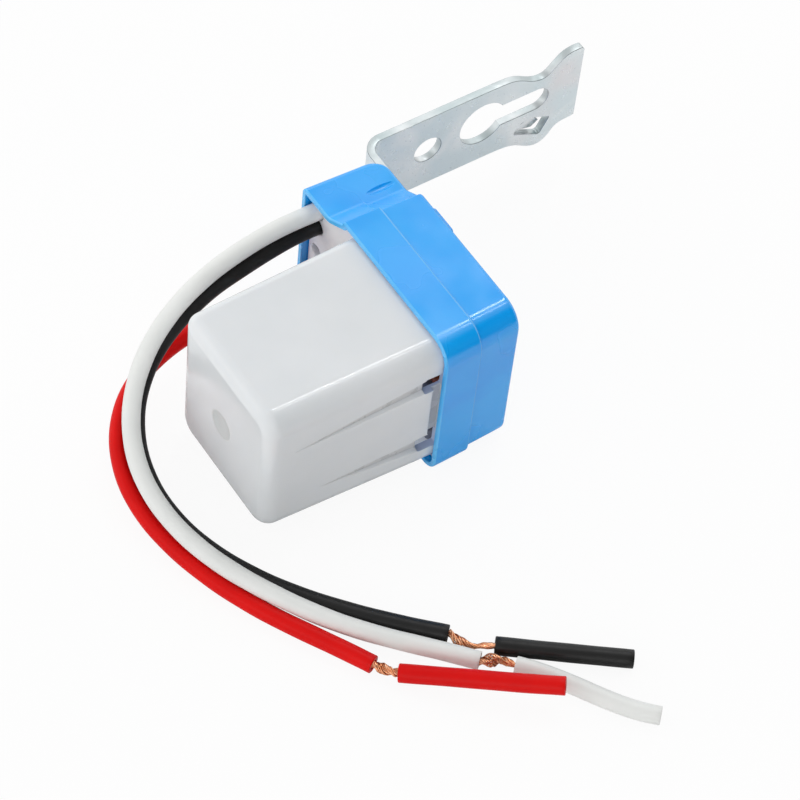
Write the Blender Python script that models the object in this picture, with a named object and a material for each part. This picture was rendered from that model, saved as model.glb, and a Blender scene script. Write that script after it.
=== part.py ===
# Photocell switch: blue cap with a lug, milky housing with its circuit board, bent steel bracket, three leads.
import math

import bmesh
import bpy
import numpy as np
from mathutils import Matrix, Vector

MM = 0.001

# driving dimensions in millimetres, x to the right side, y to the back, z up
# the cap's mouth centre is the working origin, everything is moved to the footprint centre at the end

# cap
CAP_HALF_X = 16.3
CAP_HALF_Z = 17.0
CAP_DEPTH = 15.45
SKIRT_DEPTH = 7.2
SKIRT_STEP_X = 0.7
SKIRT_STEP_Z = 0.3
CAP_DRAFT = 0.25
CAP_WALL = 1.0
CAP_CORNER_R = 4.6
CAP_FOOT_R = 3.2
CAP_BACK_R = 0.8
CAP_LEFT_R = 1.0
LUG_REACH = 12.5
LUG_DROP = 3.6
LUG_RAMP_WIDTH = 4.2
LUG_RAMP_SHARE = 0.7
LUG_EDGE_R = 1.5
LUG_BACK_R = 3.2
LUG_FILLET_R = 2.0
LUG_DRAFT = 0.7
LUG_DIMPLE_LENGTH = 8.0
LUG_DIMPLE_WIDTH = 1.9
LUG_DIMPLE_DEPTH = 0.5

# housing
FIT = 0.25
HOUSING_LENGTH = 32.9
HOUSING_TAPER_X = 2.5
HOUSING_TAPER_Z = 1.9
HOUSING_SIDE_IN = 0.95
HOUSING_CORNER_R = 3.0
HOUSING_LEFT_R = 2.0
HOUSING_FRONT_R = 2.6
HOUSING_WALL = 1.4
FLANGE_RECESS = 1.3
FLANGE_THICK = 2.1
DIMPLE_R = 3.0
DIMPLE_DEPTH = 0.45
GROOVE_DEPTH = 0.9
WINDOW_LENGTH = 3.8
WINDOW_HEIGHT = 3.9
CHANNEL_SET_IN = 1.6

# leads
WIRE_D = 3.2
WIRE_HOLE_PLAY = 0.25
WHITE_HOLE_FROM_SIDE = 3.2
BLACK_HOLE_FROM_SIDE = 3.4
SPARE_HOLE_FROM_SIDE = 3.7
RED_HOLE_FROM_SIDE = 4.2
WHITE_HOLE_FROM_TOP = 4.2
BLACK_HOLE_BELOW_WHITE = 3.7
RED_HOLE_FROM_BOTTOM = 6.2
SPARE_HOLE_Z = -1.0
SPARE_HOLE_D = 2.8
STRAND_D = 1.5
TAIL_D = 1.3
SLEEVE_BORE_D = 1.8
JOINT_GAP = 0.25

# bracket
SHEET = 1.5
PLATE_STAND = 4.75
PLATE_WIDTH = 17.95
PLATE_CENTRE_Z = 0.62
PLATE_END_Y = 63.3
LEG_GAP = 0.2
BEND_R = 4.0
HOLE_D = 5.7
HOLE_Y = 30.1
HOLE_Z = 0.9
KEY_D = 9.75
KEY_Y = 41.9
KEY_Z = 1.36
SLOT_WIDTH = 5.3
SLOT_END_Y = 56.3
STRAP_FROM_SIDE = 1.0
STRAP_WIDTH = 6.2
STRAP_OVER_LEG = 1.3
STRAP_WALL = 1.2
STRAP_PLAY = 0.25

# board and its components
BOARD_PLAY_X = 0.6
BOARD_PLAY_Z = 0.45
BOARD_THICK = 1.6
BOARD_GAP = 0.3
SEAT_GAP = 0.25

# derived
HOUSING_FRONT_HALF_X = CAP_HALF_X - HOUSING_TAPER_X
HOUSING_FRONT_HALF_Z = CAP_HALF_Z - HOUSING_TAPER_Z
BACK_HALF_X = CAP_HALF_X - SKIRT_STEP_X
BACK_HALF_Z = CAP_HALF_Z - SKIRT_STEP_Z
LUG_X = -(CAP_HALF_X + LUG_REACH)
LUG_HALF_Z = CAP_HALF_Z - LUG_DROP
LUG_RAMP_HEIGHT = LUG_RAMP_SHARE * LUG_DROP
WHITE_HOLE = (LUG_X + WHITE_HOLE_FROM_SIDE, LUG_HALF_Z - WHITE_HOLE_FROM_TOP)
BLACK_HOLE = (LUG_X + BLACK_HOLE_FROM_SIDE, WHITE_HOLE[1] - BLACK_HOLE_BELOW_WHITE)
SPARE_HOLE = (LUG_X + SPARE_HOLE_FROM_SIDE, SPARE_HOLE_Z)
RED_HOLE = (LUG_X + RED_HOLE_FROM_SIDE, RED_HOLE_FROM_BOTTOM - LUG_HALF_Z)
BOARD_HALF_X = CAP_HALF_X - CAP_WALL - BOARD_PLAY_X
BOARD_HALF_Z = CAP_HALF_Z - CAP_WALL - BOARD_PLAY_Z
STRAP_LEFT_X = STRAP_FROM_SIDE - CAP_HALF_X
STRAP_RIGHT_X = STRAP_LEFT_X + STRAP_WIDTH
LEG_END_X = STRAP_RIGHT_X - STRAP_OVER_LEG
PLATE_FACE_X = LUG_X - PLATE_STAND
FLANGE_BACK_Y = FLANGE_RECESS + FLANGE_THICK
BOARD_FRONT_Y = FLANGE_BACK_Y + BOARD_GAP
BOARD_BACK_Y = BOARD_FRONT_Y + BOARD_THICK
SEAT_Y = BOARD_FRONT_Y - SEAT_GAP
PLATE_TOP = PLATE_CENTRE_Z + PLATE_WIDTH / 2
PLATE_BOTTOM = PLATE_CENTRE_Z - PLATE_WIDTH / 2
LEG_Y = CAP_DEPTH + LEG_GAP
ROOM_DEPTH = HOUSING_LENGTH - HOUSING_WALL + SEAT_Y
REST_Z = 0.03 + WIRE_D / 2 - CAP_HALF_Z
X_MIN = PLATE_FACE_X - SHEET
SHIFT = Vector((-(X_MIN + CAP_HALF_X) / 2, -(PLATE_END_Y - HOUSING_LENGTH) / 2, CAP_HALF_Z))

ARC = 6


def material(name, color, rough, metallic=0.0, transmission=0.0):
    mat = bpy.data.materials.new(name)
    mat.use_nodes = True
    shader = mat.node_tree.nodes["Principled BSDF"]
    shader.inputs["Base Color"].default_value = (*color, 1.0)
    shader.inputs["Roughness"].default_value = rough
    shader.inputs["Metallic"].default_value = metallic
    shader.inputs["Transmission Weight"].default_value = transmission
    mat.diffuse_color = (*color, 1.0)
    return mat


def add_mesh(name, verts, faces, mat=None, angle=32.0):
    mesh = bpy.data.meshes.new(name)
    mesh.from_pydata([Vector(v) * MM for v in verts], [], faces)
    bm = bmesh.new()
    bm.from_mesh(mesh)
    bmesh.ops.remove_doubles(bm, verts=bm.verts, dist=1e-7)
    bmesh.ops.recalc_face_normals(bm, faces=bm.faces)
    if bm.calc_volume(signed=True) < 0:
        bmesh.ops.reverse_faces(bm, faces=bm.faces)
    bm.to_mesh(mesh)
    bm.free()
    mesh.shade_smooth()
    mesh.set_sharp_from_angle(angle=math.radians(angle))
    obj = bpy.data.objects.new(name, mesh)
    bpy.context.scene.collection.objects.link(obj)
    if mat:
        mesh.materials.append(mat)
    return obj


def cutter(obj):
    obj.hide_render = True
    obj.display_type = "WIRE"
    return obj


def boolean(target, tool, operation):
    mod = target.modifiers.new(f"{operation.lower()} {tool.name}", "BOOLEAN")
    mod.operation = operation
    mod.solver = "EXACT"
    mod.object = cutter(tool)


def rounded(corners, seg=ARC):
    # a closed outline from corners (a, b, radius); every radius is held to what its neighbours leave free
    n = len(corners)
    pts = []
    for i in range(n):
        p = Vector(corners[i][:2])
        before = Vector(corners[i - 1][:2]) - p
        after = Vector(corners[(i + 1) % n][:2]) - p
        turn = before.angle(after)
        limit = 0.48 * min(before.length, after.length) * math.tan(turn / 2)
        r = max(min(corners[i][2], limit), 0.02)
        u = before.normalized()
        v = after.normalized()
        reach = r / math.tan(turn / 2)
        centre = p + (u + v).normalized() * (r / math.sin(turn / 2))
        start = p + u * reach - centre
        end = p + v * reach - centre
        sweep = math.pi - turn
        for k in range(seg + 1):
            t = k / seg
            d = (start * math.sin((1 - t) * sweep) + end * math.sin(t * sweep)) / math.sin(sweep)
            pts.append(centre + d)
    return [(q.x, q.y) for q in pts]


def loft(name, sections, mat=None, angle=32.0):
    # sections are (y, outline in x and z), from one end of the body to the other
    n = len(sections[0][1])
    verts = [(x, y, z) for y, outline in sections for x, z in outline]
    faces = [tuple(range(n)), tuple(range(len(verts) - n, len(verts)))]
    for s in range(len(sections) - 1):
        for k in range(n):
            m = (k + 1) % n
            faces.append((s * n + k, s * n + m, (s + 1) * n + m, (s + 1) * n + k))
    return add_mesh(name, verts, faces, mat, angle)


def prism(name, outline, low, high, axis, mat=None, angle=32.0):
    # the outline's two numbers are the other two axes in x, y, z order
    n = len(outline)
    verts = []
    for level in (low, high):
        for a, b in outline:
            v = [a, b]
            v.insert(axis, level)
            verts.append(tuple(v))
    faces = [tuple(range(n)), tuple(range(n, 2 * n))]
    for k in range(n):
        m = (k + 1) % n
        faces.append((k, m, n + m, n + k))
    return add_mesh(name, verts, faces, mat, angle)


def circle(a, b, r, seg=32):
    return [(a + r * math.cos(2 * math.pi * k / seg), b + r * math.sin(2 * math.pi * k / seg)) for k in range(seg)]


def box_outline(a0, a1, b0, b1, r, seg=ARC):
    return rounded([(a1, b1, r), (a0, b1, r), (a0, b0, r), (a1, b0, r)], seg)


def hull(name, points):
    mesh = bpy.data.meshes.new(name)
    bm = bmesh.new()
    for p in points:
        bm.verts.new(Vector(p) * MM)
    bmesh.ops.convex_hull(bm, input=bm.verts)
    bmesh.ops.recalc_face_normals(bm, faces=bm.faces)
    bm.to_mesh(mesh)
    bm.free()
    obj = bpy.data.objects.new(name, mesh)
    bpy.context.scene.collection.objects.link(obj)
    return obj


def smooth_path(points, spacing):
    # natural cubic curve through the route points, sampled at an even spacing
    p = np.array([tuple(q) for q in points], float)
    s = np.r_[0.0, np.cumsum(np.linalg.norm(np.diff(p, axis=0), axis=1))]
    n = len(p)
    h = np.diff(s)
    a = np.eye(n)
    rhs = np.zeros_like(p)
    for i in range(1, n - 1):
        a[i, i - 1] = h[i - 1]
        a[i, i] = 2 * (h[i - 1] + h[i])
        a[i, i + 1] = h[i]
        rhs[i] = 6 * ((p[i + 1] - p[i]) / h[i] - (p[i] - p[i - 1]) / h[i - 1])
    m = np.linalg.solve(a, rhs)
    count = max(int(round(s[-1] / spacing)), 2) + 1
    out = []
    for t in np.linspace(0, s[-1], count):
        i = min(int(np.searchsorted(s, t, side="right")) - 1, n - 2)
        u = t - s[i]
        w = s[i + 1] - t
        q = (m[i] * w ** 3 + m[i + 1] * u ** 3) / (6 * h[i])
        q = q + (p[i] / h[i] - m[i] * h[i] / 6) * w + (p[i + 1] / h[i] - m[i + 1] * h[i] / 6) * u
        out.append(Vector(q))
    return out


def tube(name, points, diameter, mat, spacing=None):
    path = smooth_path(points, spacing or diameter * 2.1)
    curve = bpy.data.curves.new(name, "CURVE")
    curve.dimensions = "3D"
    curve.bevel_depth = diameter / 2 * MM
    curve.bevel_resolution = 2
    curve.use_fill_caps = True
    spline = curve.splines.new("POLY")
    spline.points.add(len(path) - 1)
    for point, q in zip(spline.points, path):
        point.co = (q.x * MM, q.y * MM, q.z * MM, 1.0)
    spline.use_smooth = True
    obj = bpy.data.objects.new(name, curve)
    bpy.context.scene.collection.objects.link(obj)
    curve.materials.append(mat)
    return obj


def hose(name, points, outer_d, bore_d, mat, spacing=5.0, seg=16):
    # a hollow sleeve swept along its path
    path = smooth_path(points, spacing)
    count = len(path)
    side = Vector((0, 0, 1))
    rings = []
    for i, q in enumerate(path):
        ahead = path[min(i + 1, count - 1)] - path[max(i - 1, 0)]
        ahead.normalize()
        across = ahead.cross(side).normalized()
        over = across.cross(ahead).normalized()
        rings.append((q, across, over))
    verts = []
    for r in (outer_d / 2, bore_d / 2):
        for q, across, over in rings:
            for k in range(seg):
                t = 2 * math.pi * k / seg
                verts.append(tuple(q + across * r * math.cos(t) + over * r * math.sin(t)))
    faces = []
    inner = count * seg
    for i in range(count - 1):
        for k in range(seg):
            m = (k + 1) % seg
            faces.append((i * seg + k, i * seg + m, (i + 1) * seg + m, (i + 1) * seg + k))
            faces.append((inner + i * seg + k, inner + (i + 1) * seg + k, inner + (i + 1) * seg + m, inner + i * seg + m))
    for i in (0, count - 1):
        for k in range(seg):
            m = (k + 1) % seg
            faces.append((i * seg + k, inner + i * seg + k, inner + i * seg + m, i * seg + m))
    return add_mesh(name, verts, faces, mat)


def turned(name, axis, centre, low, profile, mat, seg=24):
    # a round body along an axis; the profile is (distance along the axis from low, radius)
    verts = []
    faces = []
    a, b = [k for k in range(3) if k != axis]
    for along, r in profile:
        for k in range(seg):
            v = [0.0, 0.0, 0.0]
            t = 2 * math.pi * k / seg
            v[axis] = low + along
            v[a] = centre[0] + r * math.cos(t)
            v[b] = centre[1] + r * math.sin(t)
            verts.append(tuple(v))
    n = len(profile)
    for i in range(n - 1):
        for k in range(seg):
            m = (k + 1) % seg
            faces.append((i * seg + k, i * seg + m, (i + 1) * seg + m, (i + 1) * seg + k))
    faces.append(tuple(range(seg)))
    faces.append(tuple(range((n - 1) * seg, n * seg)))
    return add_mesh(name, verts, faces, mat)


# start from an empty scene
for old in list(bpy.data.objects):
    bpy.data.objects.remove(old, do_unlink=True)

BLUE = material("blue moulding", (0.05, 0.36, 0.9), 0.3)
MILKY = material("milky moulding", (0.82, 0.84, 0.86), 0.32, transmission=0.25)
ZINC = material("zinc plated steel", (0.62, 0.66, 0.7), 0.32, 1.0)
WHITE = material("white insulation", (0.85, 0.86, 0.85), 0.4)
BLACK = material("black insulation", (0.015, 0.015, 0.017), 0.4)
RED = material("red insulation", (0.75, 0.02, 0.012), 0.35)
COPPER = material("bare copper", (0.85, 0.45, 0.25), 0.35, 1.0)
TINNED = material("tinned copper", (0.75, 0.75, 0.74), 0.35, 1.0)
LAMINATE = material("board laminate", (0.62, 0.5, 0.24), 0.55)
RELAY_BLUE = material("relay case", (0.03, 0.12, 0.42), 0.4)
FILM = material("film capacitor case", (0.62, 0.3, 0.06), 0.4)
CAN = material("capacitor can sleeve", (0.02, 0.03, 0.07), 0.4)
EPOXY = material("black epoxy", (0.02, 0.02, 0.02), 0.5)
GLASS = material("glass diode body", (0.6, 0.2, 0.08), 0.2)
RESISTOR = material("resistor body", (0.6, 0.5, 0.32), 0.5)
CELL = material("photoresistor face", (0.75, 0.45, 0.3), 0.4)


# cap outline at one depth: body, lug on its left, both in one loop
def cap_outline(half_x, half_z, lug_x, lug_z, inset):
    hx = half_x - inset
    hz = half_z - inset
    lx = lug_x + inset
    lz = lug_z - inset
    big = max(CAP_CORNER_R - inset, 0.4)
    foot = max(CAP_FOOT_R - inset, 0.4)
    left = max(CAP_LEFT_R - inset, 0.3)
    edge = max(LUG_EDGE_R - inset, 0.3)
    hollow = LUG_FILLET_R + min(inset, 1.0)
    # a sloping flank leads from the lug up to the body, moved in by the inset like the other sides
    slant = math.hypot(LUG_RAMP_WIDTH, LUG_RAMP_HEIGHT)
    top = lug_z + LUG_RAMP_HEIGHT - inset * (slant - LUG_RAMP_HEIGHT) / LUG_RAMP_WIDTH
    out = half_x + LUG_RAMP_WIDTH - inset * (slant - LUG_RAMP_WIDTH) / LUG_RAMP_HEIGHT
    return rounded([
        (hx, hz, big), (-hx, hz, left), (-hx, top, 1.0), (-out, lz, hollow), (lx, lz, edge),
        (lx, -lz, edge), (-out, -lz, hollow), (-hx, -top, 1.0), (-hx, -hz, left), (hx, -hz, foot),
    ])


def cap_section(y, half_x, half_z, inset):
    t = y / CAP_DEPTH
    round_from = CAP_DEPTH - LUG_BACK_R
    curl = 0.0
    if y > round_from:
        curl = LUG_BACK_R - math.sqrt(max(LUG_BACK_R ** 2 - (y - round_from) ** 2, 0.0))
        curl = max(curl - inset, 0.0)
    return y, cap_outline(half_x, half_z, LUG_X + LUG_DRAFT * t + curl, LUG_HALF_Z - 0.5 * CAP_DRAFT * t, inset)


outer = []
for y, inset in ((0.0, 0.3), (0.1, 0.1), (0.3, 0.0)):
    outer.append(cap_section(y, CAP_HALF_X, CAP_HALF_Z, inset))
skirt_x = CAP_HALF_X - CAP_DRAFT * 0.5
outer.append(cap_section(SKIRT_DEPTH - 0.25, skirt_x, CAP_HALF_Z, 0.0))
outer.append(cap_section(SKIRT_DEPTH, skirt_x - 0.12, CAP_HALF_Z - 0.1, 0.0))
outer.append(cap_section(SKIRT_DEPTH + 0.2, BACK_HALF_X + 0.05, BACK_HALF_Z + 0.05, 0.0))
outer.append(cap_section(SKIRT_DEPTH + 0.5, BACK_HALF_X, BACK_HALF_Z, 0.0))
outer.append(cap_section(CAP_DEPTH - LUG_BACK_R, BACK_HALF_X - CAP_DRAFT * 0.6, BACK_HALF_Z, 0.0))
outer.append(cap_section(CAP_DEPTH - LUG_BACK_R * 0.55, BACK_HALF_X - CAP_DRAFT * 0.8, BACK_HALF_Z, 0.0))
for k in range(6):
    t = math.pi / 2 * k / 5
    y = CAP_DEPTH - CAP_BACK_R + CAP_BACK_R * math.sin(t)
    outer.append(cap_section(y, BACK_HALF_X - CAP_DRAFT, BACK_HALF_Z, CAP_BACK_R * (1 - math.cos(t))))

INNER_STEP_Y = SKIRT_DEPTH - CAP_WALL
INNER_BACK_Y = CAP_DEPTH - CAP_WALL


def cap_inner(y, half_x, half_z):
    t = y / CAP_DEPTH
    curl = 0.0
    inner_r = LUG_BACK_R - CAP_WALL
    if y > INNER_BACK_Y - inner_r:
        curl = inner_r - math.sqrt(max(inner_r ** 2 - (y - INNER_BACK_Y + inner_r) ** 2, 0.0))
    lug_x = LUG_X + LUG_DRAFT * t + curl
    return y, cap_outline(half_x, half_z, lug_x, LUG_HALF_Z - 0.5 * CAP_DRAFT * t, CAP_WALL)


inner = [
    cap_inner(INNER_BACK_Y, BACK_HALF_X - CAP_DRAFT, BACK_HALF_Z),
    cap_inner(INNER_BACK_Y - (LUG_BACK_R - CAP_WALL) * 0.3, BACK_HALF_X - CAP_DRAFT, BACK_HALF_Z),
    cap_inner(INNER_BACK_Y - (LUG_BACK_R - CAP_WALL), BACK_HALF_X - CAP_DRAFT * 0.8, BACK_HALF_Z),
    cap_inner(INNER_STEP_Y + 0.25, BACK_HALF_X, BACK_HALF_Z),
    cap_inner(INNER_STEP_Y, skirt_x, CAP_HALF_Z),
    cap_inner(0.2, CAP_HALF_X, CAP_HALF_Z),
]
y_mouth, mouth = cap_inner(0.0, CAP_HALF_X + 0.15, CAP_HALF_Z + 0.15)
inner.append((0.0, mouth))

sections = list(reversed(outer)) + list(reversed(inner))
cap = loft("cap", sections, BLUE)

strap_low = PLATE_BOTTOM - STRAP_PLAY - STRAP_WALL
strap_high = PLATE_TOP + STRAP_PLAY + STRAP_WALL
strap_back = LEG_Y + SHEET + STRAP_PLAY + STRAP_WALL
strap = loft("strap", [
    (CAP_DEPTH - 0.6, box_outline(STRAP_LEFT_X, STRAP_RIGHT_X, strap_low, strap_high, 0.5, 3)),
    (strap_back - 0.4, box_outline(STRAP_LEFT_X, STRAP_RIGHT_X, strap_low, strap_high, 0.5, 3)),
    (strap_back, box_outline(STRAP_LEFT_X + 0.4, STRAP_RIGHT_X - 0.4, strap_low + 0.4, strap_high - 0.4, 0.5, 3)),
])
boolean(cap, strap, "UNION")
pocket = prism("pocket", [
    (STRAP_LEFT_X - 0.5, PLATE_BOTTOM - STRAP_PLAY), (LEG_END_X + STRAP_PLAY, PLATE_BOTTOM - STRAP_PLAY),
    (LEG_END_X + STRAP_PLAY, PLATE_TOP + STRAP_PLAY), (STRAP_LEFT_X - 0.5, PLATE_TOP + STRAP_PLAY),
], CAP_DEPTH - 0.05, LEG_Y + SHEET + STRAP_PLAY, 1)
boolean(cap, pocket, "DIFFERENCE")
ball = turned("lug dimple", 1, (0.0, 0.0), 0.0,
    [(math.cos(math.pi * k / 10) * -1.0, math.sin(math.pi * k / 10) + 0.001) for k in range(11)], None, 20)
ball.data.transform(Matrix.Diagonal((LUG_DIMPLE_WIDTH / 2, LUG_DIMPLE_LENGTH / 2, 1.2, 1.0)))
ball.data.transform(Matrix.Translation(Vector((-(CAP_HALF_X + LUG_REACH * 0.44),
    CAP_DEPTH - LUG_DIMPLE_LENGTH * 0.49, LUG_HALF_Z + 1.2 - LUG_DIMPLE_DEPTH)) * MM))
boolean(cap, ball, "DIFFERENCE")


# housing: tapered box with a rounded front, flange behind the cap's mouth, open at the back
REAR_HALF_X = CAP_HALF_X - CAP_WALL - FIT
REAR_HALF_Z = CAP_HALF_Z - CAP_WALL - FIT


def housing_half(y, side=1):
    # half width and half height; the side next to the lug stands in at the rear
    t = min((y + HOUSING_LENGTH) / HOUSING_LENGTH, 1.0)
    rear = REAR_HALF_X
    if side < 0:
        rear -= HOUSING_SIDE_IN
    half_x = HOUSING_FRONT_HALF_X + (rear - HOUSING_FRONT_HALF_X) * t
    half_z = HOUSING_FRONT_HALF_Z + (REAR_HALF_Z - HOUSING_FRONT_HALF_Z) * t
    return half_x, half_z


def housing_outline(y, inset):
    right, high = housing_half(y)
    left = housing_half(y, -1)[0]
    r = max(HOUSING_CORNER_R - inset, 0.6)
    left_r = max(HOUSING_LEFT_R - inset, 0.6)
    return rounded([
        (right - inset, high - inset, r), (inset - left, high - inset, left_r),
        (inset - left, inset - high, left_r), (right - inset, inset - high, r),
    ])


body = []
for k in range(7):
    t = math.pi / 2 * k / 6
    y = -HOUSING_LENGTH + HOUSING_FRONT_R * (1 - math.sin(t))
    if k == 6:
        y = -HOUSING_LENGTH
    body.append((y, housing_outline(y, HOUSING_FRONT_R * (1 - math.cos(t)))))
body.reverse()
body.append((-8.0, housing_outline(-8.0, 0.0)))
body.append((FLANGE_RECESS - 0.4, housing_outline(0.0, 0.0)))
body.append((FLANGE_BACK_Y, housing_outline(0.0, 0.0)))
housing = loft("housing", body, MILKY)

flange = loft("flange", [
    (FLANGE_RECESS, cap_outline(CAP_HALF_X, CAP_HALF_Z, LUG_X + 0.15, LUG_HALF_Z, CAP_WALL + FIT + 0.03)),
    (FLANGE_BACK_Y - 0.02, cap_outline(CAP_HALF_X, CAP_HALF_Z, LUG_X + 0.25, LUG_HALF_Z, CAP_WALL + FIT + 0.03)),
])
boolean(housing, flange, "UNION")

room = []
room_front = -HOUSING_LENGTH + HOUSING_WALL
for y, extra in ((room_front, 1.0), (room_front + 0.3, 0.45), (room_front + 1.0, 0.0), (-8.0, 0.0)):
    room.append((y, housing_outline(y, HOUSING_WALL + extra)))
room.append((FLANGE_BACK_Y + 1.0, housing_outline(0.0, HOUSING_WALL)))
boolean(housing, loft("room", room), "DIFFERENCE")

for label, (hole_x, hole_z), hole_d in (
    ("white lead hole", WHITE_HOLE, WIRE_D + 2 * WIRE_HOLE_PLAY),
    ("black lead hole", BLACK_HOLE, WIRE_D + 2 * WIRE_HOLE_PLAY),
    ("red lead hole", RED_HOLE, WIRE_D + 2 * WIRE_HOLE_PLAY),
    ("spare hole", SPARE_HOLE, SPARE_HOLE_D),
):
    drill = prism(label, circle(hole_x, hole_z, hole_d / 2, 24), FLANGE_RECESS - 1.0, FLANGE_BACK_Y + 1.0, 1)
    boolean(housing, drill, "DIFFERENCE")

notch = prism("lead notch", [
    (LUG_X - 1.0, BLACK_HOLE[1] - WIRE_D / 2 - WIRE_HOLE_PLAY), (BLACK_HOLE[0], BLACK_HOLE[1] - WIRE_D / 2 - WIRE_HOLE_PLAY),
    (WHITE_HOLE[0], WHITE_HOLE[1] + WIRE_D / 2 + WIRE_HOLE_PLAY), (LUG_X - 1.0, WHITE_HOLE[1] + WIRE_D / 2 + WIRE_HOLE_PLAY),
], FLANGE_RECESS - 1.1, FLANGE_BACK_Y + 1.1, 1)
boolean(housing, notch, "DIFFERENCE")

window_back = FLANGE_RECESS - 0.45
window_front = window_back - WINDOW_LENGTH
window_z = 0.48 * CAP_HALF_Z
channel_z = window_z - WINDOW_HEIGHT / 2 + 0.3
for side in (1, -1):
    hx2, hz2 = housing_half(window_front, side)
    channel = prism(f"channel {side}", box_outline(window_front + CHANNEL_SET_IN, window_back + 0.02, -channel_z, channel_z, 0.8),
        min(side * (hx2 - GROOVE_DEPTH), side * (hx2 + 3.0)), max(side * (hx2 - GROOVE_DEPTH), side * (hx2 + 3.0)), 0)
    boolean(housing, channel, "DIFFERENCE")
    # groove starts as shares of the housing's length and the cap's half height
    for label, start_y, start_z, centre in (("upper", 0.85, 0.34, window_z), ("lower", 0.68, -0.44, -window_z)):
        start = (-start_y * HOUSING_LENGTH, start_z * CAP_HALF_Z)
        hx, hz = housing_half(start[0], side)
        points = [
            (side * (hx + 0.6), start[0], start[1] - 0.3), (side * (hx + 0.6), start[0], start[1] + 0.3),
            (side * (hx - 0.02), start[0], start[1]),
        ]
        for z in (centre - WINDOW_HEIGHT / 2, centre + WINDOW_HEIGHT / 2):
            points.append((side * (hx2 + 0.6), window_front + 0.5, z))
            inset_z = z + (0.5 if z < centre else -0.5)
            points.append((side * (hx2 - GROOVE_DEPTH), window_front + 0.5, inset_z))
        boolean(housing, hull(f"{label} groove {side}", points), "DIFFERENCE")
        opening = prism(f"{label} window {side}", [
            (window_front, centre - WINDOW_HEIGHT / 2), (window_back, centre - WINDOW_HEIGHT / 2),
            (window_back, centre + WINDOW_HEIGHT / 2), (window_front, centre + WINDOW_HEIGHT / 2),
        ], min(side * (hx2 - 4.0), side * (hx2 + 3.0)), max(side * (hx2 - 4.0), side * (hx2 + 3.0)), 0)
        boolean(housing, opening, "DIFFERENCE")

sphere_r = (DIMPLE_R ** 2 + DIMPLE_DEPTH ** 2) / (2 * DIMPLE_DEPTH)
dish = turned("front dimple", 1, (-0.6, -0.2), -HOUSING_LENGTH - 1.0,
    [(0.0, DIMPLE_R), (0.999, DIMPLE_R)] + [
        (1.0 + DIMPLE_DEPTH - sphere_r + math.sqrt(sphere_r ** 2 - (DIMPLE_R * (1 - k / 5)) ** 2), DIMPLE_R * (1 - k / 5) + 0.01)
        for k in range(0, 6)
    ], None, 32)
boolean(housing, dish, "DIFFERENCE")

# bracket: bent strip, cut to its wavy outline, then pierced
centre_x = X_MIN + BEND_R
centre_y = LEG_Y + BEND_R
strip = []
strip.append((LEG_END_X, LEG_Y + SHEET))
strip.append((LEG_END_X, LEG_Y))
for k in range(9):
    t = math.radians(270 - 90 * k / 8)
    strip.append((centre_x + BEND_R * math.cos(t), centre_y + BEND_R * math.sin(t)))
strip.append((X_MIN, PLATE_END_Y + 5))
strip.append((X_MIN + SHEET, PLATE_END_Y + 5))
for k in range(9):
    t = math.radians(180 + 90 * k / 8)
    r = BEND_R - SHEET
    strip.append((centre_x + r * math.cos(t), centre_y + r * math.sin(t)))
bracket = prism("bracket", strip, PLATE_BOTTOM - 8, PLATE_TOP + 8, 2, ZINC)

# offsets from the plate's end and from its straight edges
WAVE_TOP = [
    (-19.5, 0.0), (-17.4, -0.05), (-15.2, -0.35), (-13.2, -1.25), (-11.3, -2.4), (-9.6, -3.0), (-8.0, -2.9),
    (-6.6, -1.8), (-5.4, -0.6), (-4.2, 0.35), (-2.8, 0.85), (-1.3, 0.95), (-0.45, 0.75), (-0.05, 0.1),
]
WAVE_BOTTOM = [
    (-0.1, 0.55), (-1.8, 0.35), (-3.6, 0.1), (-4.7, -0.7), (-5.7, -2.0), (-6.8, -2.95), (-8.2, -3.3), (-9.8, -2.9),
    (-11.4, -2.0), (-13.2, -0.9), (-15.2, -0.25), (-17.4, -0.03), (-19.5, 0.0),
]


def densify(points, steps=3):
    path = smooth_path([(a, b, 0.0) for a, b in points], 1.0)
    span = sum((path[i + 1] - path[i]).length for i in range(len(path) - 1))
    even = smooth_path([(a, b, 0.0) for a, b in points], span / (steps * len(points)))
    return [(q.x, q.y) for q in even]


profile = [(LEG_Y - 3, PLATE_TOP), (LEG_Y - 3, PLATE_BOTTOM)]
profile += [(PLATE_END_Y + a, PLATE_BOTTOM + b) for a, b in reversed(densify(WAVE_BOTTOM))]
profile += [(PLATE_END_Y + a, PLATE_TOP + b) for a, b in reversed(densify(WAVE_TOP))]
boolean(bracket, prism("bracket outline", profile, X_MIN - 4, 2.0, 0), "INTERSECT")
far = PLATE_FACE_X + 2
near = X_MIN - 2
boolean(bracket, prism("round hole", circle(HOLE_Y, HOLE_Z, HOLE_D / 2, 32), near, far, 0), "DIFFERENCE")
half = SLOT_WIDTH / 2
key_r = KEY_D / 2
meet = math.asin(half / key_r)
key = []
for k in range(25):
    t = meet + (2 * math.pi - 2 * meet) * k / 24
    key.append((KEY_Y + key_r * math.cos(t), KEY_Z + key_r * math.sin(t)))
for k in range(13):
    t = -math.pi / 2 + math.pi * k / 12
    key.append((SLOT_END_Y - half + half * math.cos(t), KEY_Z + half * math.sin(t)))
boolean(bracket, prism("keyhole", key, near, far, 0), "DIFFERENCE")
LEAF = [(-14.0, -6.4, 0.5), (-7.8, -9.6, 0.6), (-5.9, -5.8, 0.4), (-9.3, -4.3, 1.5), (-12.3, -4.2, 0.9)]
leaf = rounded([(PLATE_END_Y + a, PLATE_CENTRE_Z + b, r) for a, b, r in LEAF], 4)
boolean(bracket, prism("lanced opening", leaf, near, far, 0), "DIFFERENCE")
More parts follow.
